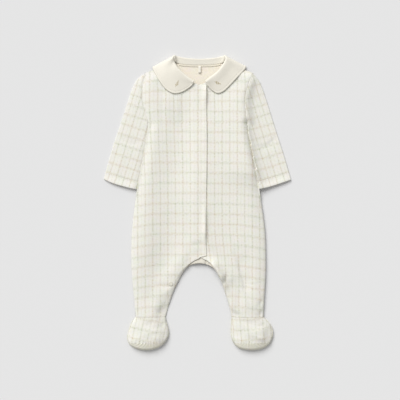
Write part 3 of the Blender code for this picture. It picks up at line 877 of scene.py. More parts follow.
def grid_normals(grid: Array) -> Array:
    """The unit normals of a grid, up where its rows follow each other to -Y and its columns to +X."""
    return unit(np.cross(np.gradient(grid, axis=0), np.gradient(grid, axis=1)))


def dress(piece: Piece, nodes: tuple[str, ...] = ()) -> Piece:
    """Ties a piece to the frame.

    Args:
        piece: The piece, in place and with its finishes.
        nodes: The CAD nodes that it stands for.

    Returns:
        The same piece.
    """
    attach(piece, "root")
    if nodes:
        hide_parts(*nodes)
    log.info("%s: %d faces", piece.name, len(piece.data.polygons))
    return piece


# ---------------------------------------------------------------- finishes


class Finish:
    """A material that is being put together from nodes."""

    def __init__(self, name: str, roughness: float, sheen: float) -> None:
        """Starts a material with its shader.

        Args:
            name: The material's name.
            roughness: The shader's roughness.
            sheen: The weight of the nap's sheen.
        """
        self.material = bpy.data.materials.new(name)
        self.material.use_nodes = True
        self.tree = self.material.node_tree
        self.shader = self.tree.nodes["Principled BSDF"]
        self.shader.inputs["Roughness"].default_value = roughness
        self.shader.inputs["Sheen Weight"].default_value = sheen
        self.shader.inputs["Sheen Roughness"].default_value = 0.6
        self.shader.inputs["Specular IOR Level"].default_value = 0.25

    def node(
        self, kind: str, inputs: dict[str | int, object] | None = None, **settings: object
    ) -> bpy.types.Node:
        """Adds a node.

        Args:
            kind: Blender's name of the node's type.
            inputs: Values or output sockets, by the input's name or number.
            settings: The node's own settings.

        Returns:
            The node.
        """
        made = self.tree.nodes.new(kind)
        for name, value in settings.items():
            setattr(made, name, value)
        for key, value in (inputs or {}).items():
            if isinstance(value, Socket):
                self.tree.links.new(value, made.inputs[key])
            else:
                made.inputs[key].default_value = value
        return made

    def math(self, operation: str, *values: object) -> Socket:
        """Adds a Math node on values or sockets, and returns its output."""
        return self.node("ShaderNodeMath", dict(enumerate(values)), operation=operation).outputs[0]

    def cloth(self) -> tuple[Socket, Socket, Socket]:
        """The cloth's coordinates: both together, across the grain, and along it."""
        place = self.node("ShaderNodeUVMap", uv_map=CLOTH_MAP).outputs[0]
        parts = self.node("ShaderNodeSeparateXYZ", {0: place})
        return place, parts.outputs[0], parts.outputs[1]

    def noise(self, place: object, scale: float, detail: float = 2.0, rough: float = 0.5) -> Socket:
        """Adds a noise texture with so many waves to a metre, and returns its value, around a half."""
        inputs = {"Vector": place, "Scale": scale, "Detail": detail, "Roughness": rough}
        return self.node("ShaderNodeTexNoise", inputs).outputs[0]

    def stretch(self, place: object, scale: tuple[float, float, float]) -> Socket:
        """Stretches coordinates by three factors."""
        return self.node("ShaderNodeMapping", {"Vector": place, "Scale": scale}).outputs[0]

    def spread(self, value: object, low: float, high: float, start: float = 0.0, end: float = 1.0) -> Socket:
        """Spreads the values between low and high out from start to end."""
        return self.node("ShaderNodeMapRange", {0: value, 1: low, 2: high, 3: start, 4: end}).outputs[0]

    def wave(self, along: object, pitch: float) -> Socket:
        """A wave between -1 and 1, one for each pitch along a coordinate."""
        return self.math("SINE", self.math("MULTIPLY", along, 2 * math.pi / pitch))

    def line(self, distance: object, width: float, soft: float) -> Socket:
        """A line of a width with soft edges: 1 near its middle, and 0 beside it."""
        inputs = {0: distance, 1: width / 2 - soft / 2, 2: width / 2 + soft / 2, 3: 1.0, 4: 0.0}
        return self.node("ShaderNodeMapRange", inputs, interpolation_type="SMOOTHSTEP").outputs[0]

    def blend(self, share: object, one: object, other: object, how: str = "MIX") -> Socket:
        """Mixes two colours by a share, in one of Blender's ways."""
        mix = self.node("ShaderNodeMix", {0: share, 6: one, 7: other}, data_type="RGBA", blend_type=how)
        return mix.outputs[2]

    def tinted(self, colour: object, share: object, one: Colour, other: Colour) -> Socket:
        """Multiplies a colour by a mix of two tints."""
        return self.blend(1.0, colour, self.blend(share, one, other), "MULTIPLY")

    def finish(self, colour: object, height: object, depth: float, strength: float) -> Material:
        """Connects the colour and the relief.

        Args:
            colour: The colour's socket or value.
            height: The relief's height, from 0 to 1.
            depth: The relief's depth in metres.
            strength: How much of it shows.

        Returns:
            The finished material.
        """
        if isinstance(colour, Socket):
            self.tree.links.new(colour, self.shader.inputs["Base Color"])
        else:
            self.shader.inputs["Base Color"].default_value = colour
        bump = self.node("ShaderNodeBump", {"Strength": strength, "Distance": depth, "Height": height})
        self.tree.links.new(bump.outputs[0], self.shader.inputs["Normal"])
        return self.material


def tone(red: int, green: int, blue: int) -> Colour:
    """A shader colour from screen values of 0 to 255."""

    def linear(value: float) -> float:
        """One screen value as a share of light."""
        share = value / 255
        return share / 12.92 if share <= 0.04045 else ((share + 0.055) / 1.055) ** 2.4

    return (linear(red), linear(green), linear(blue), 1.0)


@dataclass(frozen=True)
class Jersey:
    """Brushed cotton jersey: its knit, its heathered colour and, on the outer face, its woven-look check."""

    name: str
    ground: tuple[int, int, int] = (229, 228, 220)
    warm_line: tuple[int, int, int] = (200, 187, 164)
    cool_line: tuple[int, int, int] = (187, 190, 166)
    row_share: float = 0.27
    main_share: float = 0.33
    between_share: float = 0.29
    hair_share: float = 0.17
    # how strong the whole check is
    check: float = 1.0
    row_pitch: float = 0.01885
    column_pitch: float = 0.0277
    row_width: float = 0.0042
    column_width: float = 0.0027
    wale: float = 0.0013

    def check_share(self, made: Finish, place: object, u: object, v: object) -> Socket:
        """How much of the line colour shows at each point.

        Args:
            made: The material being put together.
            place: Both coordinates.
            u: The coordinate across the grain.
            v: The coordinate along it.

        Returns:
            The share's socket.
        """
        wobble = made.math("MULTIPLY_ADD", made.noise(place, 38.0, 2.0), 0.0022, -0.0011)
        drift = made.noise(made.stretch(place, (1, 1.7, 1)), 31.0, 2.0)
        drift = made.math("MULTIPLY_ADD", drift, 0.0018, -0.0009)
        u, v = made.math("ADD", u, wobble), made.math("ADD", v, drift)
        row = made.math("PINGPONG", v, self.row_pitch / 2)
        main = made.math("PINGPONG", u, self.column_pitch / 2)
        between = made.math("SUBTRACT", self.column_pitch / 2, main)
        hair = made.math("PINGPONG", u, self.column_pitch / 8)
        weft = made.math("PINGPONG", v, self.row_pitch / 12)
        shares = [
            (made.line(row, self.row_width, 0.0040), self.row_share),
            (made.line(main, self.column_width, 0.0022), self.main_share),
            (made.line(between, self.column_width * 0.85, 0.0022), self.between_share),
            (made.line(hair, 0.0011, 0.0011), self.hair_share),
            (made.line(weft, 0.0010, 0.0010), self.hair_share / 2),
        ]
        left = 1.0
        for mask, strength in shares:
            left = made.math("MULTIPLY", left, made.math("MULTIPLY_ADD", mask, -strength, 1.0))
        patchy = made.spread(made.noise(place, 330.0, 3.0, 0.65), 0.32, 0.68, 0.05, 1.95)
        whole = made.math("MULTIPLY", made.math("SUBTRACT", 1.0, left), patchy)
        return made.math("MULTIPLY", whole, self.check)

    def shaded(self, made: Finish, place: object, colour: object) -> Socket:
        """The colour with what varies it: the heather, soft clouds, flecks and a fall towards the feet.

        Args:
            made: The material being put together.
            place: Both coordinates.
            colour: The colour of the check.

        Returns:
            The varied colour.
        """
        heather = made.spread(made.noise(made.stretch(place, (1.0, 0.6, 1.0)), 520.0, 4.0, 0.7), 0.3, 0.7)
        clouds = made.spread(made.noise(place, 62.0, 1.0), 0.38, 0.62)
        flecks = made.spread(made.noise(place, 210.0, 2.0, 0.6), 0.36, 0.64)
        colour = made.tinted(colour, heather, (0.955, 0.955, 0.95, 1), (1.04, 1.04, 1.045, 1))
        colour = made.tinted(colour, clouds, (0.991, 1.005, 0.994, 1), (1.012, 0.995, 1.005, 1))
        colour = made.tinted(colour, flecks, (1.0, 1.0, 0.955, 1), (1.0, 0.995, 1.035, 1))
        spot = made.node("ShaderNodeTexCoord").outputs["Object"]
        fall = made.spread(made.node("ShaderNodeSeparateXYZ", {0: spot}).outputs[1], -0.25, 0.14, 0.955, 1.01)
        grey = made.node("ShaderNodeCombineColor", {0: fall, 1: fall, 2: fall}).outputs[0]
        return made.blend(1.0, colour, grey, "MULTIPLY")

    def build(self) -> Material:
        """Makes the material."""
        made = Finish(self.name, roughness=0.92, sheen=0.06)
        place, u, v = made.cloth()
        hue = made.spread(made.noise(place, 26.0, 1.0), 0.42, 0.58)
        line_colour = made.blend(hue, tone(*self.warm_line), tone(*self.cool_line))
        colour = made.blend(self.check_share(made, place, u, v), tone(*self.ground), line_colour)
        slant = made.math("ABSOLUTE", made.wave(u, self.wale))
        courses = made.math("MULTIPLY", v, 2 * math.pi / (self.wale * 0.8))
        loops = made.math("SINE", made.math("MULTIPLY_ADD", slant, 0.9, courses))
        knit = made.math("MULTIPLY", slant, made.math("MULTIPLY_ADD", loops, 0.25, 0.75))
        nap = made.noise(place, 1500.0, 3.0, 0.7)
        height = made.math("MULTIPLY_ADD", nap, 0.7, made.math("MULTIPLY", knit, 0.5))
        return made.finish(self.shaded(made, place, colour), height, depth=0.00022, strength=0.55)


@dataclass(frozen=True)
class FineRib:
    """Fine ribbed cloth, for the collar, the facing and the tapes."""

    name: str
    ground: tuple[int, int, int]
    rib: float = 0.0012
    depth: float = 0.00018

    def build(self) -> Material:
        """Makes the material."""
        made = Finish(self.name, roughness=0.9, sheen=0.06)
        place, u, v = made.cloth()
        heather = made.noise(made.stretch(place, (1.0, 0.4, 1.0)), 800.0, 3.0, 0.6)
        heather = made.math("MULTIPLY_ADD", heather, 0.12, 0.44)
        colour = made.tinted(tone(*self.ground), heather, (0.93, 0.92, 0.9, 1), (1.07, 1.07, 1.08, 1))
        ribs, courses = made.wave(u, self.rib), made.wave(v, self.rib * 0.7)
        weave = made.math("MULTIPLY_ADD", courses, 0.18, made.math("MULTIPLY_ADD", ribs, 0.32, 0.5))
        nap = made.noise(place, 1400.0, 2.0, 0.6)
        height = made.math("MULTIPLY_ADD", nap, 0.45, weave)
        return made.finish(colour, height, depth=self.depth, strength=0.6)


@dataclass(frozen=True)
class Thread:
    """Twisted sewing or embroidery thread."""

    name: str
    colour: tuple[int, int, int]
    roughness: float = 0.55
    # how fast the plies turn, in radians for each metre
    twist: float = 9000.0

    def build(self) -> Material:
        """Makes the material."""
        made = Finish(self.name, roughness=self.roughness, sheen=0.1)
        place, u, v = made.cloth()
        plies = made.math("ADD", made.math("MULTIPLY", u, self.twist), made.math("MULTIPLY", v, self.twist))
        height = made.math("MULTIPLY_ADD", made.math("SINE", plies), 0.5, 0.5)
        worn = made.math("MULTIPLY_ADD", made.noise(place, 300.0, 2.0), 0.3, 0.35)
        colour = made.tinted(tone(*self.colour), worn, (0.9, 0.9, 0.9, 1), (1.08, 1.08, 1.08, 1))
        return made.finish(colour, height, depth=0.00006, strength=0.5)


@dataclass(frozen=True)
class PopperPlastic:
    """The press stud's satin plastic."""

    name: str = "popper plastic"
    colour: tuple[int, int, int] = (222, 219, 206)

    def build(self) -> Material:
        """Makes the material."""
        made = Finish(self.name, roughness=0.34, sheen=0.0)
        place, _, _ = made.cloth()
        cloud = made.noise(place, 400.0, 2.0)
        colour = made.blend(cloud, tone(*self.colour), tone(*(c - 14 for c in self.colour)))
        return made.finish(colour, made.noise(place, 2500.0, 2.0), depth=0.00002, strength=0.4)


@dataclass(frozen=True)
class Paper:
    """The plain pale floor."""

    name: str = "studio floor"
    colour: tuple[int, int, int] = (222, 222, 222)

    def build(self) -> Material:
        """Makes the material."""
        made = Finish(self.name, roughness=1.0, sheen=0.0)
        made.shader.inputs["Specular IOR Level"].default_value = 0.0
        place = made.node("ShaderNodeTexCoord").outputs["Object"]
        return made.finish(tone(*self.colour), made.noise(place, 900.0, 2.0), depth=0.00002, strength=0.2)


@dataclass
class Finishes:
    """Every finish of the suit, made once."""

    def __post_init__(self) -> None:
        """Makes the materials."""
        self.check = Jersey("checked jersey").build()
        self.inside = Jersey("jersey inside", ground=(233, 226, 212), check=0.05).build()
        self.band = Jersey("band jersey", ground=(232, 230, 222), main_share=0.0, between_share=0.0).build()
        # the facing's colour is the plain inner cloth's own tone, darkened below it as painted shade for the
        # shadow that the fronts cast on it
        self.facing = FineRib("facing jersey", (219, 215, 203)).build()
        self.sole = Jersey("sole jersey", ground=(225, 223, 208), check=0.3).build()
        self.collar = FineRib("collar cloth", (231, 227, 215), rib=0.0015, depth=0.00024).build()
        self.tape = FineRib("cotton tape", (230, 224, 208), rib=0.0008).build()
        self.loop = FineRib("loop tape", (236, 232, 221), rib=0.0008).build()
        self.thread = Thread("seam thread", (226, 222, 211)).build()
        self.leaf = Thread("leaf thread", (200, 187, 156), roughness=0.45).build()
        self.stem = Thread("stem thread", (176, 168, 136), roughness=0.45).build()
        self.popper = PopperPlastic().build()


# ---------------------------------------------------------------- stitches


@dataclass(frozen=True)
class StitchRow:
    """Stitches of one size, in rows along lines on the cloth."""

    pitch: float = 2.7
    length: float = 2.1
    radius: float = 0.2
    sides: int = 6
    # along the stitch from its middle, how thick it is there, and how far it sinks
    profile: Points = (
        (-1, 0.12, 0.3), (-0.8, 0.75, 0.1), (-0.3, 1, 0), (0.3, 1, 0), (0.8, 0.75, 0.1), (1, 0.12, 0.3),
    )

    def one(self) -> tuple[Array, Array]:
        """One stitch along X.

        Returns:
            Its points, ring after ring, and its quads.
        """
        turns = np.arange(self.sides) * 2 * math.pi / self.sides
        rings = []
        for along, thick, sink in self.profile:
            ring = np.zeros((self.sides, 3))
            ring[:, 0] = along * self.length / 2
            ring[:, 1] = np.cos(turns) * self.radius * thick
            ring[:, 2] = np.sin(turns) * self.radius * thick - sink * self.radius * 2
            rings.append(ring)
        numbers = np.arange(len(rings) * self.sides).reshape(len(rings), self.sides)
        wrapped = np.concatenate([numbers, numbers[:, :1]], axis=1)
        quads = [wrapped[:-1, :-1], wrapped[:-1, 1:], wrapped[1:, 1:], wrapped[1:, :-1]]
        return np.concatenate(rings), np.stack(quads, axis=-1).reshape(-1, 4)

    def along(self, line: Array) -> tuple[Array, Array, Array]:
        """The stitches along one line.

        Args:
            line: The line's points, on the cloth.

        Returns:
            Their points, quads and cloth coordinates.
        """
        points, quads = self.one()
        stations = lengths_along(line)
        count = max(1, int(stations[-1] // self.pitch))
        placed = []
        for k in range(count):
            middle = (k + 0.5) * stations[-1] / count
            reads = (middle - self.length / 2, middle, middle + self.length / 2)
            start, centre, end = np.column_stack([np.interp(reads, stations, values) for values in line.T])
            way = unit(end - start)
            side = unit(np.cross((0, 0, 1), way))
            placed.append(centre + points @ np.stack([way, side, np.cross(way, side)]))
        faces = np.concatenate([quads + k * len(points) for k in range(count)])
        return np.concatenate(placed), faces, np.tile(points[:, :2], (count, 1))

    def build(self, name: str, lines: list[Array], thread: Material) -> Piece:
        """Makes one object of the stitches along some lines, tied to the frame."""
        return thread_object(name, [self.along(line) for line in lines], thread)


def thread_object(name: str, rows: list[tuple[Array, Array, Array]], thread: Material) -> Piece:
    """Makes one object of rows of stitches.

    Args:
        name: The object's name.
        rows: Each row's points, quads and cloth coordinates.
        thread: The finish.

    Returns:
        The object, tied to the frame.
    """
    points, quads, cloth = zip(*rows)
    firsts = np.cumsum([0, *(len(part) for part in points[:-1])])
    faces = np.concatenate([part + first for part, first in zip(quads, firsts)])
    return dress(mesh_object(name, np.concatenate(points), [faces], np.concatenate(cloth), [thread]))


def on_cloth(plan: Array, height: Height, proud: float = 0.08) -> Array:
    """Lays plan points on a height field, a little proud of it."""
    return np.column_stack([plan, height(plan[:, 0], plan[:, 1]) + proud])


def shifted_line(line: Array, offset: float) -> Array:
    """A plan line moved to its left by an offset, or to its right by one below zero."""
    way = unit(np.gradient(line, axis=0))
    return line + np.column_stack([-way[:, 1], way[:, 0]]) * offset


# ---------------------------------------------------------------- the body


@dataclass
class Back:
    """The back: one sheet, whose printed face lies on the floor and whose plain face shows at the neck."""

    finishes: Finishes
    columns: int = 36
    yoke_rows: int = 22
    trunk_rows: int = 110
    # the shoulder seam's share of the half's width
    shoulder_share: float = 0.55
    grain: TrunkGrain = TrunkGrain(-27.8, 18.6)

    def top(self, side: Side, shares: Array) -> Array:
        """The top edge of a half, down the shoulder seam and along the neck.

        Args:
            side: Which half.
            shares: The columns' shares of its width.

        Returns:
            The edge's plan points.
        """
        form = FORM
        tip = form.body_edge(side, np.array([form.shoulder_y]))[0]
        neck_x = form.neckline[0][side.column]
        x = np.interp(shares, [0, self.shoulder_share, 1], [tip[0], neck_x, form.arch_top_x])
        slope = np.interp(shares, [0, self.shoulder_share], [tip[1], form.back_neck(neck_x)])
        return np.column_stack([x, np.where(shares <= self.shoulder_share, slope, form.back_neck(x))])

    def half(self, side: Side) -> Wall:
        """Half of the back, from its outer edge to the centre line or the inside leg.

        Args:
            side: Which half.

        Returns:
            Its wall, with the printed face below as the outer one.
        """
        form, rows, middle_x = FORM, self.yoke_rows, FORM.arch_top_x
        shares = stepped((0, 0), (0.1, 5), (1, self.columns - 1))
        top = self.top(side, shares)
        outer = form.body_edge(side, np.linspace(form.shoulder_y, form.yoke_y, rows))
        middle = np.column_stack([np.full(rows, middle_x), np.linspace(top[-1, 1], form.yoke_y, rows)])
        bottom = across(outer[-1:], middle[-1:], shares)[0]
        arch_y = form.arch[0][0]
        trunk = stepped((form.yoke_y, 0), (arch_y, self.trunk_rows))[1:]
        legs = stepped((arch_y, 0), (arch_y - 1, 3), (-118, 9), (-142, 12), (form.ankle_y, 34))[1:]
        straight = np.column_stack([np.full(len(trunk), middle_x), trunk])
        low_outer = form.body_edge(side, np.concatenate([trunk, legs]))
        low_inner = np.concatenate([straight, form.inseam_edge(form.back_inseam, side, legs)])
        high, low = patch(outer, middle, top, bottom, shares), across(low_outer, low_inner, shares)
        plan = np.concatenate([high, low])
        wall = Wall.cut(plan, form.back_top, form.wall, self.grain, joined=rows + len(trunk))
        return Wall(wall.inner, wall.outer, wall.cloth)

    def build(self) -> None:
        """Makes the back."""
        walls = [self.half(side) for side in Side]
        back = wall_object("back_cloth", walls, self.finishes.check, self.finishes.inside)
        dress(back, ("back",))


@dataclass
class Front:
    """One front, from the shoulder to the ankle."""

    side: Side
    finishes: Finishes
    columns: int = 56
    neck_rows: int = 38
    yoke_rows: int = 16
    trunk_rows: int = 158
    # how far inside the leg opening and the armhole the topstitching runs
    leg_seams: tuple[float, ...] = (2.0, 9.0)
    armhole_seam: float = 1.8
    grain: TrunkGrain = TrunkGrain(-26.8, 18.2, fan=0.07)

    @property
    def is_over(self) -> bool:
        """Whether this front overlaps the other."""
        return self.side is Side.LEFT

    def height(self, x: Array, y: Array) -> Array:
        """The height of the front's outer face."""
        return FORM.front_top(x, y) + (FORM.over_lift(x) if self.is_over else 0.0)

    def legs(self) -> Array:
        """The heights of the rows below the placket."""
        stops = ((FORM.placket_end_y, 0), (-105, 12), (-115, 12), (-142, 18), (FORM.ankle_y, 38))
        return stepped(*stops)[1:]

    def plan(self) -> Array:
        """The front's plan points."""
        form, side = FORM, self.side
        inner_x = form.placket_x if self.is_over else form.underlap_x
        neck = trace([(row[side.column], row[0]) for row in form.neckline], even(self.neck_rows))
        down = stepped((form.neckline[-1][0], 0), (form.yoke_y, self.yoke_rows))[1:]
        trunk = stepped((form.yoke_y, 0), (form.placket_end_y, self.trunk_rows))[1:]
        straight = np.concatenate([down, trunk])
        placket = np.column_stack([np.full(len(straight), inner_x), straight])
        inner = np.concatenate([neck, placket, form.inseam_edge(form.front_inseam, side, self.legs())])
        high = np.linspace(form.shoulder_y, form.yoke_y, self.neck_rows + 1 + self.yoke_rows)
        outer = form.body_edge(side, np.concatenate([high, trunk, self.legs()]))
        shares = stepped((0, 0), (0.11, 13), (1, self.columns - 1))
        return across(outer, inner, shares)

    def seams(self) -> list[Array]:
        """The topstitched lines: twice along the leg opening, and inside the armhole."""
        edge, sign = FORM.inseam_edge(FORM.front_inseam, self.side, self.legs()[4:]), self.side.sign
        lines = [shifted_line(edge, sign * offset) for offset in self.leg_seams]
        lines.append(shifted_line(FORM.armholes[self.side], sign * self.armhole_seam))
        return [on_cloth(line, self.height) for line in lines]

    def build(self) -> None:
        """Makes the front and its topstitching."""
        name = "front_over" if self.is_over else "front_under"
        wall = Wall.cut(self.plan(), self.height, FORM.wall, self.grain)
        front = wall_object(f"{name}_cloth", [wall], self.finishes.check, self.finishes.inside)
        dress(front, (name,))
        stitches = StitchRow().build(f"{name}_stitches", self.seams(), self.finishes.thread)


@dataclass
class PlacketBand:
    """The plain band along the overlapping front's edge."""

    finishes: Finishes
    edge: Points = ((16.4, 216.2), (16.6, 180), (17.4, 100), (16.1, 10), (15.0, -60), (16.6, -96.6))
    bottom_y: float = -100.4
    fixed_x: float = 3.0
    width: float = 13.0
    rows: int = 170
    # the columns' shares of the width, closer along the free edge's stitching
    shares: tuple[float, ...] = (0, 0.05, 0.12, 0.22, 0.34, 0.46, 0.58, 0.68, 0.76, 0.81, 0.85, 0.89, 0.94, 1)
    # y, how far the free edge lifts there, and over what length
    lifts: Points = ((203, 2.4, 15), (128, 0.7, 22), (52, 0.5, 18), (-50, 2.6, 20))
    edge_lift: float = 0.5
    pucker: float = 0.1
    # the furrows that the topstitching presses: how far from the fixed edge, how deep and how wide
    furrows: Points = ((11.3, 0.22, 0.8), (0.0, 0.1, 0.9))
    free_seam: float = 2.0
    fixed_seam: float = 2.4
    grain: Grain = Grain(0, 18.6)

    def height(self, x: Array, y: Array) -> Array:
        """The height of the band's outer face.

        Args:
            x: The points' x.
            y: The points' y.

        Returns:
            The height at each point.
        """
        inside = x - self.fixed_x
        share = np.clip(inside / self.width, 0, 1)
        lift = sum(height * bell(y - at, reach) for at, height, reach in self.lifts)
        puckers = self.pucker * np.sin(y / 2.3 + 2 * np.sin(y / 17)) * share
        furrows = sum(-deep * bell(inside - at, wide) for at, deep, wide in self.furrows)
        top = FORM.front_top(x, y) + FORM.overlap_lift + 0.06
        return top + (lift + self.edge_lift) * share**2 + puckers + furrows

    def build(self) -> None:
        """Makes the band and its topstitching."""
        free = trace(self.edge, even(self.rows))
        down = np.linspace(self.edge[0][1], self.bottom_y, self.rows + 1)
        fixed = np.column_stack([np.full(len(down), self.fixed_x), down])
        wall = Wall.cut(across(fixed, free, self.shares), self.height, FORM.wall, self.grain)
        band = wall_object("placket_band_cloth", [wall], self.finishes.band, self.finishes.inside)
        dress(band, ("placket_band",))
        lines = [shifted_line(free[2:-2], -self.free_seam), shifted_line(fixed[2:-2], self.fixed_seam)]
        lines = [on_cloth(line, self.height) for line in lines]
        stitches = StitchRow().build("placket_stitches", lines, self.finishes.thread)


@dataclass
class CrotchFacing:
    """The plain facing along the crotch arch, on the inside of the back. Its colour is darkened as painted
    shade for the fronts' shadow on it.
    """

    finishes: Finishes
    arch: Points = ((-14, -115), (-7, -112.5), (3, -111), (13, -112.5), (21, -115))
    # how far its low edge lies inside the arch
    inset: float = 0.6
    depth: float = 15.0
    lift: float = 1.25
    seam: float = 2.2

    def height(self, x: Array, y: Array) -> Array:
        """The height of the facing's upper face."""
        return FORM.back_top(x, y) + self.lift

    def build(self) -> None:
        """Makes the facing and its topstitching."""
        low = trace(self.arch, even(44)) + (0, self.inset)
        wall = Wall.cut(across(low + (0, self.depth), low, even(14)), self.height, FORM.wall, Grain(0, 0))
        # the facing's finish carries painted shade: its colour is darkened for the fronts' shadow on it
        facing = wall_object("crotch_facing_cloth", [wall], self.finishes.facing, self.finishes.facing)
        dress(facing, ("crotch_band",))
        line = on_cloth(shifted_line(low[1:-1], self.seam), self.height)
        stitches = StitchRow().build("crotch_stitches", [line], self.finishes.thread)


@dataclass
class NeckTape:
    """The tape over the back neck seam."""

    finishes: Finishes
    reach: float = 38.0
    depth: float = 3.2
    cloth: float = 0.85
    lift: float = 0.95
    # how far over the neck seam its top edge lies
    over: float = 0.1
    # the two rows of stitches, as shares of the way down
    seams: tuple[float, ...] = (0.2, 0.82)
    stitch: StitchRow = StitchRow(pitch=2.2, length=1.7, radius=0.16)

    def height(self, x: Array, y: Array) -> Array:
        """The height of the tape's upper face."""
        return FORM.back_top(x, y) + self.lift

    def build(self) -> None:
        """Makes the tape and its two rows of stitches."""
        x = np.linspace(FORM.neck_centre_x - self.reach, FORM.neck_centre_x + self.reach, 60)
        top = np.column_stack([x, FORM.back_neck(x) + self.over])
        low = top - (0, self.depth)
        wall = Wall.cut(across(low, top, even(6)), self.height, self.cloth, Grain(0, 0), rim=FORM.wall)
        tape = wall_object("neck_tape_cloth", [wall], self.finishes.tape, self.finishes.tape)
        dress(tape, ("neck_tape",))
        lines = [on_cloth((top + (low - top) * share)[2:-2], self.height) for share in self.seams]
        stitches = self.stitch.build("tape_stitches", lines, self.finishes.thread)


@dataclass
class HangingLoop:
    """The hanging loop at the middle of the neck tape: a narrow tape, folded double at its foot."""

    finishes: Finishes
    width: float = 4.6
    length: float = 12.5
    cloth: float = 0.6
    fold_radius: float = 0.75
    # how far under the neck seam it starts, and how far it lies over the back
    drop: float = 1.6
    lift: float = 1.3
    # the columns across it, closer at its edges
    shares: tuple[float, ...] = (-1, -0.97, -0.85, -0.5, 0, 0.5, 0.85, 0.97, 1)

    def path(self) -> Array:
        """The way down the lower layer, round the foot and up again, as y and the height over the back."""
        top_y, radius = FORM.back_neck_y - self.drop, self.fold_radius
        foot_y = top_y - self.length + radius
        down = [(top_y - 0.2, 0.0), (top_y - 4, 0.02), (foot_y + 3, 0.0)]
        turns = np.radians(np.linspace(-90, 90, 9))
        foot = np.column_stack([foot_y - radius * np.cos(turns), radius + radius * np.sin(turns)])
        back = [(foot_y + 3, 2 * radius), (top_y - 3, 2 * radius + 0.1), (top_y, 2 * radius - 0.3)]
        return trace(np.concatenate([down, foot, back]), even(48))

    def build(self) -> None:
        """Makes the loop."""
        path, spots = self.path(), np.array(self.shares) * self.width / 2
        height = FORM.back_top(np.full(len(path), FORM.neck_centre_x), path[:, 0]) + path[:, 1] + self.lift
        middle = np.broadcast_arrays(FORM.neck_centre_x + spots, path[:, :1], height[:, None])
        middle = np.stack(middle, axis=-1)
        edge = np.sqrt(np.clip(1 - np.abs(self.shares) ** 8, 0, 1))
        ends = np.ones(len(path))
        ends[[0, -1]] = 0.0
        half = grid_normals(middle) * (self.cloth / 2 * np.minimum(edge, ends[:, None]))[..., None]
        cloth = np.stack(np.broadcast_arrays(spots, lengths_along(path)[:, None]), axis=-1)
        wall = Wall(middle + half, middle - half, cloth)
        loop = wall_object("hanging_loop_tape", [wall], self.finishes.loop, self.finishes.loop)
        dress(loop, ("hanging_loop",))


# ---------------------------------------------------------------- sleeves


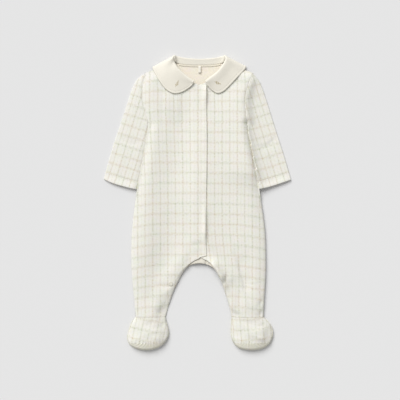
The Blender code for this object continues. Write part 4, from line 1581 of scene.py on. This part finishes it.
@dataclass
class Sleeve:
    """A sleeve: a flattened tube, open at the cuff, whose inner part is tucked under the body."""

    side: Side
    finishes: Finishes
    rows: int = 112
    # every how many rows the inside has one
    inside_step: int = 5
    hem: float = 14.0
    # how far to both sides of the hem's line and outside the armhole the stitching runs
    twin: float = 1.5
    armhole_seam: float = 2.0
    fold_radius: float = 1.5
    fold_offsets: tuple[float, ...] = (0.12, 0.45, 0.95)
    # the rows round the cuff's edge: the share of the way to the inside, and how far they stand out
    cuff_rim: Points = ((0.15, 0.35), (0.5, 0.5), (0.85, 0.35))
    # inside the sleeve: its height in the folds, by the body and by the outer fold, and how high it is banked
    # up beside the body, as a share of the body's own stacked height
    levels: dict[Side, tuple[float, ...]] = by_side((0.5, 2.6, 1.0, 0.0), (1.4, 3.4, 1.2, 1.15))
    level_width: float = 55.0
    bank_reach: float = 9.0
    least_gap: float = 0.12
    # the puffed hem's lift and reach, and the depth and width of the furrow that its stitches press
    hem_puff: tuple[float, float] = (1.9, 7.0)
    hem_furrow: tuple[float, float] = (0.35, 1.6)
    # how far the sleeve lies under the front along the armhole seam, and how far from it the two part
    seam_drop: dict[Side, float] = by_side(0.1, 0.5)
    sewn_reach: dict[Side, float] = by_side(3.5, 9.5)
    # the left sleeve's height where it comes out from under the body, and how far that reaches
    meeting_height: float = 3.9
    meeting_reach: float = 5.0
    grains: dict[Side, Grain] = by_side(Grain(-126.3, 122.8, turn=-17.0), Grain(121.5, 121.9, turn=17.0))
    inner_folds: dict[Side, Points] = by_side(
        ((-75, 137), (-78, 118), (-86, 90), (-98, 54), (-108, 23)),
        ((76, 137), (79, 118), (87, 92), (101, 52), (110, 24)),
    )
    cuffs: dict[Side, Points] = by_side(
        ((-172.5, 44.5), (-157.5, 37.6), (-136, 31.1), (-108, 24.5)),
        ((172.5, 43.6), (152, 36.6), (131, 30.1), (110, 25.5)),
    )

    def gap(self, x: Array, y: Array) -> Array:
        """The clear height inside the sleeve where it lies free.

        Args:
            x: The points' x.
            y: The points' y.

        Returns:
            The height at each point.
        """
        form, side = FORM, self.side
        low, near, far, shelf = self.levels[side]
        body = distance_to(x, y, form.body_fold, form.armholes[side])
        level = near + (far - near) * np.clip(body / self.level_width, 0, 1)
        rise = round_rise(distance_to(x, y, form.outer_folds[side]) / form.sleeve_round)
        lift = sum(crease.lift(x, y) for crease in SLEEVE_CREASES) + form.unevenness.lift(x, y) * 0.6
        cuff = distance_to(x, y, trace(self.cuffs[side], even(12)))
        (puff, puff_reach), (furrow, furrow_reach) = self.hem_puff, self.hem_furrow
        hem = puff * bell(cuff, puff_reach) - furrow * bell(cuff - self.hem, furrow_reach)
        bank = shelf * read_table(form.stack, 1, y) * np.exp(-body / self.bank_reach)
        return low + (level - low) * rise + (lift + hem) * (0.3 + 0.7 * rise) + bank

    def top(self, x: Array, y: Array) -> Array:
        """The height of the sleeve's outer face, which stays under the body where it is tucked in.

        Args:
            x: The points' x.
            y: The points' y.

        Returns:
            The height at each point.
        """
        form, side = FORM, self.side
        free = 2 * form.wall + np.maximum(self.least_gap, self.gap(x, y))
        sewn = bell(distance_to(x, y, form.armholes[side]), self.sewn_reach[side])
        sewn = sewn * soft_step((y - form.armpit_y + 6) / 12)
        height = free + (form.front_top(x, y) - self.seam_drop[side] - free) * sewn
        outside = np.abs(x) - np.abs(form.body_x(side, y))
        if side is Side.LEFT:
            meet = bell(np.clip(outside, 0, None), self.meeting_reach) * soft_step((form.armpit_y - y) / 8)
            height = height + (np.minimum(height, self.meeting_height) - height) * meet
        tucked = (outside < 0.3) & (y < form.armpit_y + 2)
        return np.where(tucked, np.minimum(height, np.maximum(form.back_lift(x, y) - 0.2, 2.2)), height)

    def plan(self) -> Array:
        """The sleeve's plan points, from the armhole to the cuff and from the outer to the inner fold."""
        form, side = FORM, self.side
        shares = stepped((0, 0), (0.12, 5), (0.9, 33), (1, 4))
        heights = np.array([form.shoulder_y, 228, 217, 204, 190, 176, 163, 150])
        seam = form.body_edge(side, heights) - (side.sign * 0.9, 0)
        start = np.vstack([seam, self.inner_folds[side][0]])
        outer = trace(np.vstack([start[:1], form.sleeve_outer[side][1:]]), even(self.rows))
        inner = trace(self.inner_folds[side], even(self.rows))
        plan = patch(outer, inner, trace(start, shares), trace(self.cuffs[side], shares), shares)
        return near_ends(plan, self.fold_offsets, 1)

    def rings(self, plan: Array, inset: float) -> Array:
        """Closed rings round the sleeve, one for each row of the plan.

        Args:
            plan: The plan points.
            inset: How far inside the outer face.

        Returns:
            The rings' points: under the sleeve from the outer fold to the inner one, and back over it.
        """
        from_outer = np.linalg.norm(plan - plan[:, :1], axis=-1)
        from_inner = np.linalg.norm(plan - plan[:, -1:], axis=-1)
        near = np.minimum(from_outer, from_inner)
        turned = quarter_round(near / self.fold_radius)
        way = unit(plan[:, -1:] - plan[:, :1])
        pull = inset * (1 - np.clip(near / (3 * FORM.wall), 0, 1)) * np.where(from_outer < from_inner, 1, -1)
        spots = plan + way * pull[..., None]
        top = self.top(plan[..., 0], plan[..., 1]) - inset
        middle = FORM.wall + 0.1
        over = np.concatenate([spots, (middle + (top - middle) * turned)[..., None]], axis=-1)
        under = np.concatenate([spots, (middle + (inset - middle) * turned)[..., None]], axis=-1)
        return np.concatenate([under, over[:, -2::-1]], axis=1)

    def seams(self) -> list[Array]:
        """The stitched lines: twice along the hem where it shows, and outside the armhole."""
        side = self.side
        cuff = trace(self.cuffs[side], even(60))
        lines = [shifted_line(cuff, -side.sign * (self.hem + way * self.twin))[2:-8] for way in (-1, 1)]
        lines = [line[np.abs(line[:, 0]) > np.abs(FORM.body_x(side, line[:, 1])) + 1] for line in lines]
        lines.append(shifted_line(FORM.armholes[side][:-2], side.sign * self.armhole_seam))
        return [on_cloth(line, self.top) for line in lines]

    def build(self) -> None:
        """Makes the sleeve and its stitching."""
        finishes, name = self.finishes, f"sleeve_{self.side.value}"
        plan = self.plan()
        outside = self.rings(plan, 0.0)
        few = np.unique([*range(0, self.rows + 1, self.inside_step), self.rows])
        inside = self.rings(plan[few], FORM.wall)[::-1]
        way = unit(outside[-1] - outside[-3]) * FORM.wall
        rim = [outside[-1] * (1 - share) + inside[0] * share + way * out for share, out in self.cuff_rim]
        grid = np.concatenate([outside, rim, inside, outside[:1]])
        cloth = self.grains[self.side].cloth(grid[..., 0], grid[..., 1])
        sleeve = ring_object(f"{name}_cloth", grid, cloth, len(outside) + 1, finishes.check, finishes.inside)
        dress(sleeve, (name,))
        stitches = StitchRow().build(f"{name}_stitches", self.seams(), finishes.thread)


# ---------------------------------------------------------------- feet


@dataclass
class Foot:
    """A foot that holds its round: a domed upper, and a sole that wraps up over the toes."""

    side: Side
    finishes: Finishes
    steps: int = 44
    heel_steps: int = 30
    cloth: float = 1.2
    side_wrap: float = 1.2
    ankle_fade: float = 12.0
    # from the ankle to the point that the rim's ways lead to
    middle: float = -34.0
    toe_seam_y: float = -257.5
    # how high and how far from the seams the puckers and the ankle's furrow reach
    pucker: tuple[float, float] = (0.42, 6.5)
    furrow: tuple[float, float] = (0.2, 3.2)
    # how far the dome leans to the suit's right
    tilt: dict[Side, float] = by_side(0.05, 0.06)
    toe_stitch: float = 1.8
    ankle_stitches: tuple[float, ...] = (1.8, 4.6)
    grains: dict[Side, Grain] = by_side(
        Grain(-98.0, -214.0, turn=-12.0, bend=-14.0), Grain(92.0, -214.0, turn=4.0, bend=-16.0)
    )
    # inset, share of the wrap, height, drop below the dome, and the inset and height where the heel is flat
    sections: tuple[tuple[float | None, ...], ...] = (
        (12, 0, 0, None, 12, 0),
        (6.0, 0, 0, None, 2.4, 0),
        (1.8, 0, 1.4, None, 0.3, 0),
        (0, 0, 4.2, None, 0, 0.15),
        (0.8, 0.15, 0, 0, 0, 0.3),
        (0, 0.5, 0, 0, 0, 0.45),
        (0, 1, 0, 0, 0, 0.75),
        (0, 1, 0, 1.2, 0, 1.05),
        (0.9, 0.5, 0, 1.2, 0.6, 1.2),
        (1.6, 0, 2.0, None, 1.3, 1.2),
        (3.0, 0, 1.2, None, 2.8, 1.2),
        (12, 0, 1.2, None, 12, 1.2),
    )
    # the rings inside the first and the last section, as shares of the way out
    inner_rings: tuple[float, ...] = (0.45, 0.02)
    # how finely the sections are followed round the rim, and how many rows of faces are the sole's outer face
    fineness: int = 5
    outer_rows: int = 35

    @property
    def outline(self) -> Array:
        """The foot's plan outline."""
        return np.asarray(FORM.feet[self.side], float)

    @property
    def centre(self) -> Array:
        """The plan point in the middle of the foot."""
        return (self.outline[0] + self.outline[-1]) / 2 + (0, self.middle)

    def dome(self, x: Array, y: Array) -> Array:
        """The height of the foot's outer face.

        Args:
            x: The points' x.
            y: The points' y.

        Returns:
            The height at each point, with the puckers along the toe seam.
        """
        below = FORM.ankle_y - y
        gap = FORM.gap(x, y, BODY_CREASES + FOOT_CREASES)
        waves = np.sin(x * 1.15 + 1.7 * np.sin(x / 7))
        puckers = self.pucker[0] * waves * bell(y - self.toe_seam_y, self.pucker[1])
        furrow = -self.furrow[0] * bell(below, self.furrow[1])
        inside = FORM.inside_folds(x, y)
        across_x = self.outline[:, 0]
        rightward = np.clip(x - (across_x.min() + across_x.max()) / 2 + 8, 0, None)
        tilt = self.tilt[self.side] * rightward * soft_step(below / 24) * round_rise(inside / 3)
        natural = 0.4 * soft_step(below / 14) + gap + (puckers + furrow) * round_rise(inside / 12) - tilt
        return 2 * FORM.wall + np.maximum(natural, 0.3)

    def rim(self) -> tuple[Array, Array, Array]:
        """The outline's points and, for each, the way to the middle and how far the sole wraps up."""
        rim = trace(self.outline, even(3 * self.steps))
        ways = unit(self.centre - rim)
        fade = soft_step((FORM.ankle_y - rim[:, 1]) / self.ankle_fade)
        wraps = np.maximum(self.side_wrap * fade, (self.toe_seam_y - rim[:, 1]) / np.maximum(ways[:, 1], 0.2))
        return rim, ways, wraps

    def upper(self) -> Piece:
        """Makes the upper, from the ankle to the seam over the toes."""
        rim, ways, wraps = self.rim()
        seam = rim + ways * (wraps + 0.1)[:, None]
        seam[:, 1] = np.minimum(seam[:, 1], FORM.ankle_y - 0.1)
        steps, name = self.steps, f"foot_upper_{self.side.value}"
        left, toe, right = seam[: steps + 1], seam[steps : 2 * steps + 1], seam[2 * steps :][::-1]
        ankle = seam[0] + (seam[-1] - seam[0]) * even(steps)[:, None]
        plan = patch(left, right, ankle, toe, even(steps))
        wall = Wall.cut(plan, self.dome, self.cloth, self.grains[self.side])
        made = wall_object(f"{name}_cloth", [wall], self.finishes.check, self.finishes.inside)
        return dress(made, (name,))

    def sole_rings(self) -> list[Array]:
        """The sole's rings, from the middle underneath, round the rim and back inside."""
        rim, ways, wraps = self.rim()
        heel = rim[-1] + (rim[0] - rim[-1]) * even(self.heel_steps)[1:-1, None]
        rim = np.concatenate([rim, heel, rim[:1]])
        ways = np.concatenate([ways, unit(self.centre - heel), ways[:1]])
        wraps = np.concatenate([wraps, np.zeros(len(heel)), wraps[:1]])
        full = np.minimum(1.0, wraps / self.side_wrap)
        rings = []
        for inset, share, height, drop, flat_inset, flat_height in self.sections:
            moved = flat_inset + (inset + share * wraps - flat_inset) * full
            spots = rim + ways * moved[:, None]
            z = height if drop is None else self.dome(spots[:, 0], spots[:, 1]) - drop
            z = flat_height + (z - flat_height) * full
            spots[:, 1] = np.minimum(spots[:, 1], FORM.ankle_y - 0.1)
            rings.append(np.column_stack([spots, z]))
        middle = np.array([*self.centre, 0.0])
        for share in self.inner_rings:
            rings.insert(0, middle + (rings[0] - middle) * share)
            rings.append(np.where([1, 1, 0], middle + (rings[-1] - middle) * share, rings[-1]))
        return rings

    def sole(self) -> Piece:
        """Makes the sole: flat on the floor, wrapped up over the toes, and double like its cloth."""
        finishes, name = self.finishes, f"sole_{self.side.value}"
        section = np.stack(self.sole_rings(), axis=1)
        flat = len(self.inner_rings) + 1
        last = section.shape[1] - 1
        between = np.linspace(flat, last - flat, (last - 2 * flat) * self.fineness + 1)
        finer = np.concatenate([np.arange(flat), between, np.arange(last - flat + 1, last + 1)])
        grid = np.stack([smooth_curve(line, np.arange(last + 1), finer) for line in section], axis=1)
        grid[..., 2] = np.maximum(grid[..., 2], 0.0)
        cloth = self.grains[self.side].cloth(grid[..., 0], grid[..., 1])
        made = ring_object(f"{name}_cloth", grid, cloth, self.outer_rows, finishes.sole, finishes.inside)
        return dress(made, (name,))

    def seams(self) -> list[Array]:
        """The stitched lines, along the toe seam and twice under the ankle seam."""
        rim, ways, wraps = self.rim()
        toe = (rim + ways * (wraps + self.toe_stitch)[:, None])[self.steps - 6 : 2 * self.steps + 7]
        x = np.linspace(rim[0, 0], rim[-1, 0], 40)[3:-3]
        ankle = [np.column_stack([x, np.full(len(x), FORM.ankle_y - drop)]) for drop in self.ankle_stitches]
        return [on_cloth(line, self.dome) for line in (toe, *ankle)]

    def build(self) -> None:
        """Makes the upper, the sole and the stitches."""
        upper, sole = self.upper(), self.sole()
        stitches = StitchRow().build(f"foot_{self.side.value}_stitches", self.seams(), self.finishes.thread)


# ---------------------------------------------------------------- collar


class Run(Enum):
    """Where along the collar a section stands."""

    FRONT = "front"
    SHOULDER = "shoulder"
    BACK = "back"


@dataclass
class Collar:
    """A round collar in one strip: it stands at the neck seam, rolls over and falls on the suit."""

    finishes: Finishes
    cloth: float = 1.5
    steps: int = 14
    # where the section stands, its roll line's point and its outer edge's point
    sections: tuple[tuple[Run, tuple[float, float], tuple[float, float]], ...] = (
        (Run.FRONT, (-6, 223.5), (-9.5, 216.5)),
        (Run.FRONT, (-14, 229), (-17, 210.5)),
        (Run.FRONT, (-23, 236), (-29, 203.5)),
        (Run.FRONT, (-31, 243), (-43, 201)),
        (Run.FRONT, (-38, 251), (-57, 208)),
        (Run.FRONT, (-42.5, 260), (-70, 224)),
        (Run.FRONT, (-44, 266.5), (-80, 242)),
        (Run.SHOULDER, (-42, 271), (-82.5, 250)),
        (Run.BACK, (-38, 270), (-76, 243)),
        (Run.BACK, (-20, 266.5), (-48, 228)),
        (Run.BACK, (4, 265), (4, 223)),
        (Run.BACK, (28, 266.5), (56, 228)),
        (Run.BACK, (46, 270), (83, 244)),
        (Run.SHOULDER, (50, 271), (89.5, 251.5)),
        (Run.FRONT, (51.5, 266.5), (86.5, 245)),
        (Run.FRONT, (50, 259.5), (74, 231)),
        (Run.FRONT, (44, 249.5), (61, 217)),
        (Run.FRONT, (38, 242), (49, 205.5)),
        (Run.FRONT, (30, 235), (37, 201)),
        (Run.FRONT, (21, 228.5), (25.5, 208)),
        (Run.FRONT, (14, 223.5), (17.5, 216.5)),
    )
    # the heights over the floor on top of the shoulders, from the seam to the outer edge
    shoulder_heights: dict[Side, tuple[float, ...]] = by_side(
        (5.0, 9.4, 10.0, 7.4, 4.6, 3.3), (5.0, 9.4, 10.0, 7.0, 3.6, 1.8)
    )
    # along the outer edge, the share of the thickness that each adds, how far inside it lies, and its reach
    bead: tuple[float, ...] = (0.22, 1.6, 1.8)
    furrow: tuple[float, ...] = (-0.3, 4.2, 0.9)
    # the stitching runs where the strip is at least so wide, and its fall lies at least so high
    stitched_width: float = 12.0
    stitched_height: float = 2.4
    stitch: StitchRow = StitchRow(pitch=2.4, length=1.9)

    def bed(self, x: Array, y: Array) -> Array:
        """The height of what the collar's front falls lie on."""
        over = FORM.front_top(x, y) + FORM.over_lift(x)
        under = FORM.front_top(x, y) + FORM.overlap_lift * soft_step((24 - x) / 6)
        return np.where(x < FORM.placket_x, over, under)

    def back_controls(self, start: Array, end: Array, out: Array) -> tuple[list[Array], list[float]]:
        """A section's plan points and heights where it falls behind the back."""
        floor = self.cloth / 2
        neck_x = FORM.neck_centre_x + (start[0] - FORM.neck_centre_x) * 0.93
        neck = np.array([neck_x, FORM.back_neck(neck_x) - 0.4])
        seam_z = float(FORM.back_top(*neck)) + 0.35
        plan = [neck, neck + (start - neck) * 0.65, start, start + out * 2.5, (start + end) / 2, end]
        return plan, [seam_z, seam_z + 0.5, seam_z + 0.8, floor + 1.1, floor, floor]

    def shoulder_controls(self, start: Array, end: Array, out: Array) -> tuple[list[Array], list[float]]:
        """A section's plan points and heights on top of a shoulder."""
        side = Side.LEFT if start[0] < 0 else Side.RIGHT
        neck = np.array([start[0] - side.sign * 2, FORM.back_neck_y + 5])
        plan = [neck, neck + (start - neck) * 0.6, start, start + out * 4, (start + end) / 2, end]
        return plan, self.shoulder_heights[side]

    def front_controls(self, start: Array, end: Array, out: Array) -> tuple[list[Array], Array]:
        """A section's plan points and heights where it falls on a front."""
        width = np.linalg.norm(end - start)
        short = soft_step((24 - width) / 15)
        full = 1 - short
        seam = start + out * min(5.0, 0.45 * width)
        plan = [seam, start + out * 1.6, start, start + out * 3.0, (start + end) / 2, end]
        beds = self.bed(*np.array(plan).T)
        rises = [1.15, 1.6 + 0.8 * full, 3.0 + 1.6 * full, 4.7 + 2.0 * full, 4.1, 1.8 + 1.2 * short]
        if start[0] > FORM.neck_centre_x:
            rises[2:5] = [3.2 + 3.8 * full, 4.2 + 4.6 * full, 4.1 + 1.9 * full]
            beds[1:4] = np.maximum(beds[1:4], beds[4])
        return plan, beds + rises

    def controls(self, run: Run, roll: tuple[float, float], outer: tuple[float, float]) -> Array:
        """Six points across the collar: seam, stand, roll, fold-over, fall and outer edge.

        Args:
            run: Where the section stands.
            roll: The roll line's plan point.
            outer: The outer edge's plan point.

        Returns:
            The points.
        """
        start, end = np.asarray(roll, float), np.asarray(outer, float)
        makers = {
            Run.FRONT: self.front_controls,
            Run.SHOULDER: self.shoulder_controls,
            Run.BACK: self.back_controls,
        }
        return np.column_stack(makers[run](start, end, unit(end - start)))

    def surface(self) -> Array:
        """The middle of the collar's cloth: a grid from tip to tip, each row from the seam to the edge."""
        controls = np.stack([self.controls(*section) for section in self.sections])
        stations = np.arange(len(controls))
        spots = np.linspace(0, stations[-1], stations[-1] * self.steps + 1)
        lines = controls.transpose(1, 0, 2)
        rails = np.stack([smooth_curve(line, stations, spots) for line in lines], axis=1)
        shares = stepped((0, 0), (0.3, 13), (0.84, 16), (1, 11))
        return np.stack([trace(rail, shares) for rail in rails])

    def stitch_lines(self, middle: Array, face: Array, from_edge: Array) -> list[Array]:
        """The lines of the edge stitching on the two front falls.

        Args:
            middle: The middle of the cloth.
            face: The face that is up on the fronts.
            from_edge: How far each point lies from the outer edge.

        Returns:
            The left and the right line, on the cloth.
        """
        inset = self.furrow[1]
        rows = zip(from_edge[:, ::-1], face[:, ::-1])
        line = np.array([[np.interp(inset, away, values) for values in row.T] for away, row in rows])
        high = middle[:, -12:, 2].mean(axis=1) > self.stitched_height
        shown = high & (from_edge[:, 0] > self.stitched_width)
        left = line[:, 0] < FORM.neck_centre_x
        return [line[shown & part] + (0, 0, 0.05) for part in (left, ~left)]

    def build(self) -> Piece:
        """Makes the collar and its edge stitching, and returns the collar."""
        finishes = self.finishes
        middle = self.surface()
        from_edge = np.linalg.norm(middle - middle[:, -1:], axis=-1)
        rows = (self.bead, self.furrow)
        thick = 1 + sum(share * bell(from_edge - inset, reach) for share, inset, reach in rows)
        half = self.cloth / 2 * thick * quarter_round(from_edge / (self.cloth / 2))
        half[[0, -1]] = 0.0
        half[:, 0] = 0.0
        offset = grid_normals(middle) * half[..., None]
        outer, inner = middle + offset, middle - offset
        cloth = np.stack(np.broadcast_arrays(lengths_along(middle[:, -8])[:, None], from_edge), axis=-1)
        collar = wall_object("collar_cloth", [Wall(outer, inner, cloth)], finishes.collar, finishes.collar)
        dress(collar, ("collar",))
        lines = self.stitch_lines(middle, outer, from_edge)
        stitches = self.stitch.build("collar_stitches", lines, finishes.thread)
        return collar


# ---------------------------------------------------------------- small parts


@dataclass
class Sprig:
    """A small generic sprig, embroidered on the collar: a curved stem with satin-stitched leaves."""

    name: str
    place: tuple[float, float]
    turn: float
    finishes: Finishes
    # where on the stem a leaf starts, its angle, its length and its width
    leaves: Points = (
        (0.22, 128, 3.6, 1.6),
        (0.38, 44, 3.9, 1.7),
        (0.58, 122, 3.4, 1.5),
        (0.76, 50, 3.1, 1.4),
        (1.0, 84, 3.4, 1.5),
    )
    threads: int = 11
    slant: float = 0.25
    leaf_proud: float = 0.1
    stem: Points = ((-4.2, -3.4), (-1.6, -1.4), (0.6, 0.6), (2.6, 3.2))
    stem_proud: float = 0.16
    stem_stitch: StitchRow = StitchRow(pitch=1.1, length=1.5, radius=0.26)

    def leaf_lines(self, stem: Array) -> list[Array]:
        """The leaves' threads, each across its leaf.

        Args:
            stem: The stem's plan points.

        Returns:
            Each thread's two plan points.
        """
        heading = math.degrees(math.atan2(stem[-1, 1] - stem[0, 1], stem[-1, 0] - stem[0, 0]))
        lines = []
        for at, angle, length, width in self.leaves:
            root = trace(self.stem, np.array([at]))[0]
            way = math.radians(heading + angle - 90)
            ahead, side = np.array([math.cos(way), math.sin(way)]), np.array([-math.sin(way), math.cos(way)])
            for share in np.linspace(0.06, 0.97, self.threads):
                wide = width * math.sin(math.pi * share**0.8) / 2 + 0.08
                middle = root + ahead * length * share
                reach = side * wide + ahead * self.slant
                lines.append(np.array([middle - reach, middle + reach]))
        return lines

    def build(self, height: Height) -> None:
        """Makes the leaves and the stem.

        Args:
            height: The collar's upper face.
        """
        angle = math.radians(self.turn)
        spin = np.array([[math.cos(angle), math.sin(angle)], [-math.sin(angle), math.cos(angle)]])
        stem = trace(self.stem, even(20))
        rows = []
        for line in self.leaf_lines(stem):
            thread = on_cloth(line @ spin + self.place, height, self.leaf_proud)
            length = float(lengths_along(thread)[-1])
            rows.append(StitchRow(pitch=length, length=length).along(thread))
        thread_object(f"{self.name}_leaves", rows, self.finishes.leaf)
        stem = on_cloth(stem @ spin + self.place, height, self.stem_proud)
        thread_object(f"{self.name}_stem", [self.stem_stitch.along(stem)], self.finishes.stem)


@dataclass
class Popper:
    """The press stud's cap near the inside leg: a domed disc with a raised rim."""

    finishes: Finishes
    place: tuple[float, float] = (-49.0, -148.5)
    # radius and height, from the middle underneath, round the edge, to the middle on top
    profile: Points = (
        (0.02, -0.3), (2.6, -0.25), (3.5, 0), (3.75, 0.35), (3.6, 0.8), (3.1, 1.05), (2.6, 0.85), (1.8, 0.75),
        (0.8, 0.9), (0.02, 0.95),
    )
    turns: int = 48
    # the ring of cloth that it rests on, and how far over it
    seat_radius: float = 3.5
    seat: float = 0.15

    def build(self) -> None:
        """Makes the cap."""
        x, y = self.place
        around = np.arange(self.turns + 1) * 2 * math.pi / self.turns
        east, north = np.cos(around), np.sin(around)
        base = np.max(FORM.front_top(x + self.seat_radius * east, y + self.seat_radius * north)) + self.seat
        radius, z = np.split(trace(self.profile, even(40)), 2, axis=1)
        grid = np.stack(np.broadcast_arrays(x + radius * east, y + radius * north, base + z), axis=-1)
        faces, cloth = grid_faces(grid.shape[:2], 0, False), grid[..., :2].reshape(-1, 2)
        popper = mesh_object("inseam_popper_cap", grid.reshape(-1, 3), [faces], cloth, [self.finishes.popper])
        dress(popper, ("inseam_popper",))


# ---------------------------------------------------------------- the studio


@dataclass
class Studio:
    """The floor, the light and the camera straight above."""

    lens: float = 85.0
    sensor: float = 36.0
    view_width: float = 0.7384
    centre: tuple[float, float] = (0.0047, 0.0056)
    sun_turn: float = 30.0
    sun_tilt: float = 48.0
    sun_strength: float = 2.88
    sun_softness: float = 38.0
    sky_strength: float = 0.465
    floor_size: float = 3.0

    def floor(self) -> None:
        """Makes the floor."""
        bm = bmesh.new()
        bmesh.ops.create_grid(bm, x_segments=8, y_segments=8, size=self.floor_size)
        mesh = bpy.data.meshes.new("studio_floor")
        bm.to_mesh(mesh)
        bm.free()
        mesh.materials.append(Paper().build())
        floor = bpy.data.objects.new("studio_floor", mesh)
        bpy.context.scene.collection.objects.link(floor)

    def light(self) -> None:
        """Makes the soft light from the upper left, and the even light all round."""
        lamp = bpy.data.lights.new("soft key", "SUN")
        lamp.energy = self.sun_strength
        lamp.angle = math.radians(self.sun_softness)
        key = bpy.data.objects.new("soft key", lamp)
        turn, tilt = math.radians(self.sun_turn), math.radians(self.sun_tilt)
        way = Vector((-math.sin(turn) * math.sin(tilt), math.cos(turn) * math.sin(tilt), math.cos(tilt)))
        key.rotation_mode = "QUATERNION"
        key.rotation_quaternion = way.to_track_quat("Z", "Y")
        bpy.context.scene.collection.objects.link(key)
        world = bpy.data.worlds.new("studio")
        world.use_nodes = True
        sky = world.node_tree.nodes["Background"]
        sky.inputs["Color"].default_value = (1.0, 1.0, 1.0, 1.0)
        sky.inputs["Strength"].default_value = self.sky_strength
        bpy.context.scene.world = world

    def camera(self) -> None:
        """Makes the camera, at the distance from which the view is as wide as it has to be."""
        data = bpy.data.cameras.new("overhead")
        data.lens, data.sensor_width = self.lens, self.sensor
        data.clip_start, data.clip_end = 0.05, 20.0
        camera = bpy.data.objects.new("overhead", data)
        camera.location = (*self.centre, self.view_width * self.lens / self.sensor)
        bpy.context.scene.collection.objects.link(camera)
        bpy.context.scene.camera = camera

    def build(self) -> None:
        """Makes the whole studio."""
        self.camera()
        self.light()
        self.floor()
        bpy.context.scene.view_settings.view_transform = "Standard"


def surface_height(piece: Piece) -> Height:
    """The height of a piece's upper face, by looking straight down on it.

    Args:
        piece: The piece.

    Returns:
        The height as a function of plan points, in millimetres.
    """

    def height(x: Array, y: Array) -> Array:
        """The height at each point."""
        found = []
        for one, other in zip(np.atleast_1d(x), np.atleast_1d(y)):
            hit, place, _, _ = piece.ray_cast(Vector((one * MM, other * MM, 1.0)), Vector((0, 0, -1)))
            found.append(place.z / MM if hit else 0.0)
        return np.array(found)

    return height


def main() -> None:
    """Builds the studio and the suit."""
    logging.basicConfig(level=logging.INFO, format="%(message)s")
    Studio().build()
    finishes = Finishes()
    Back(finishes).build()
    Front(Side.RIGHT, finishes, grain=TrunkGrain(45.3, 17.0, lean=8.0)).build()
    Front(Side.LEFT, finishes).build()
    PlacketBand(finishes).build()
    CrotchFacing(finishes).build()
    NeckTape(finishes).build()
    HangingLoop(finishes).build()
    for side in Side:
        Sleeve(side, finishes).build()
        Foot(side, finishes).build()
    collar = Collar(finishes).build()
    bpy.context.view_layer.update()
    height = surface_height(collar)
    Sprig("sprig_left", (-37.7, 217.9), 20.0, finishes).build(height)
    Sprig("sprig_right", (36.1, 219.8), -65.0, finishes).build(height)
    Popper(finishes).build()
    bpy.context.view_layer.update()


if __name__ == "__main__":
    main()
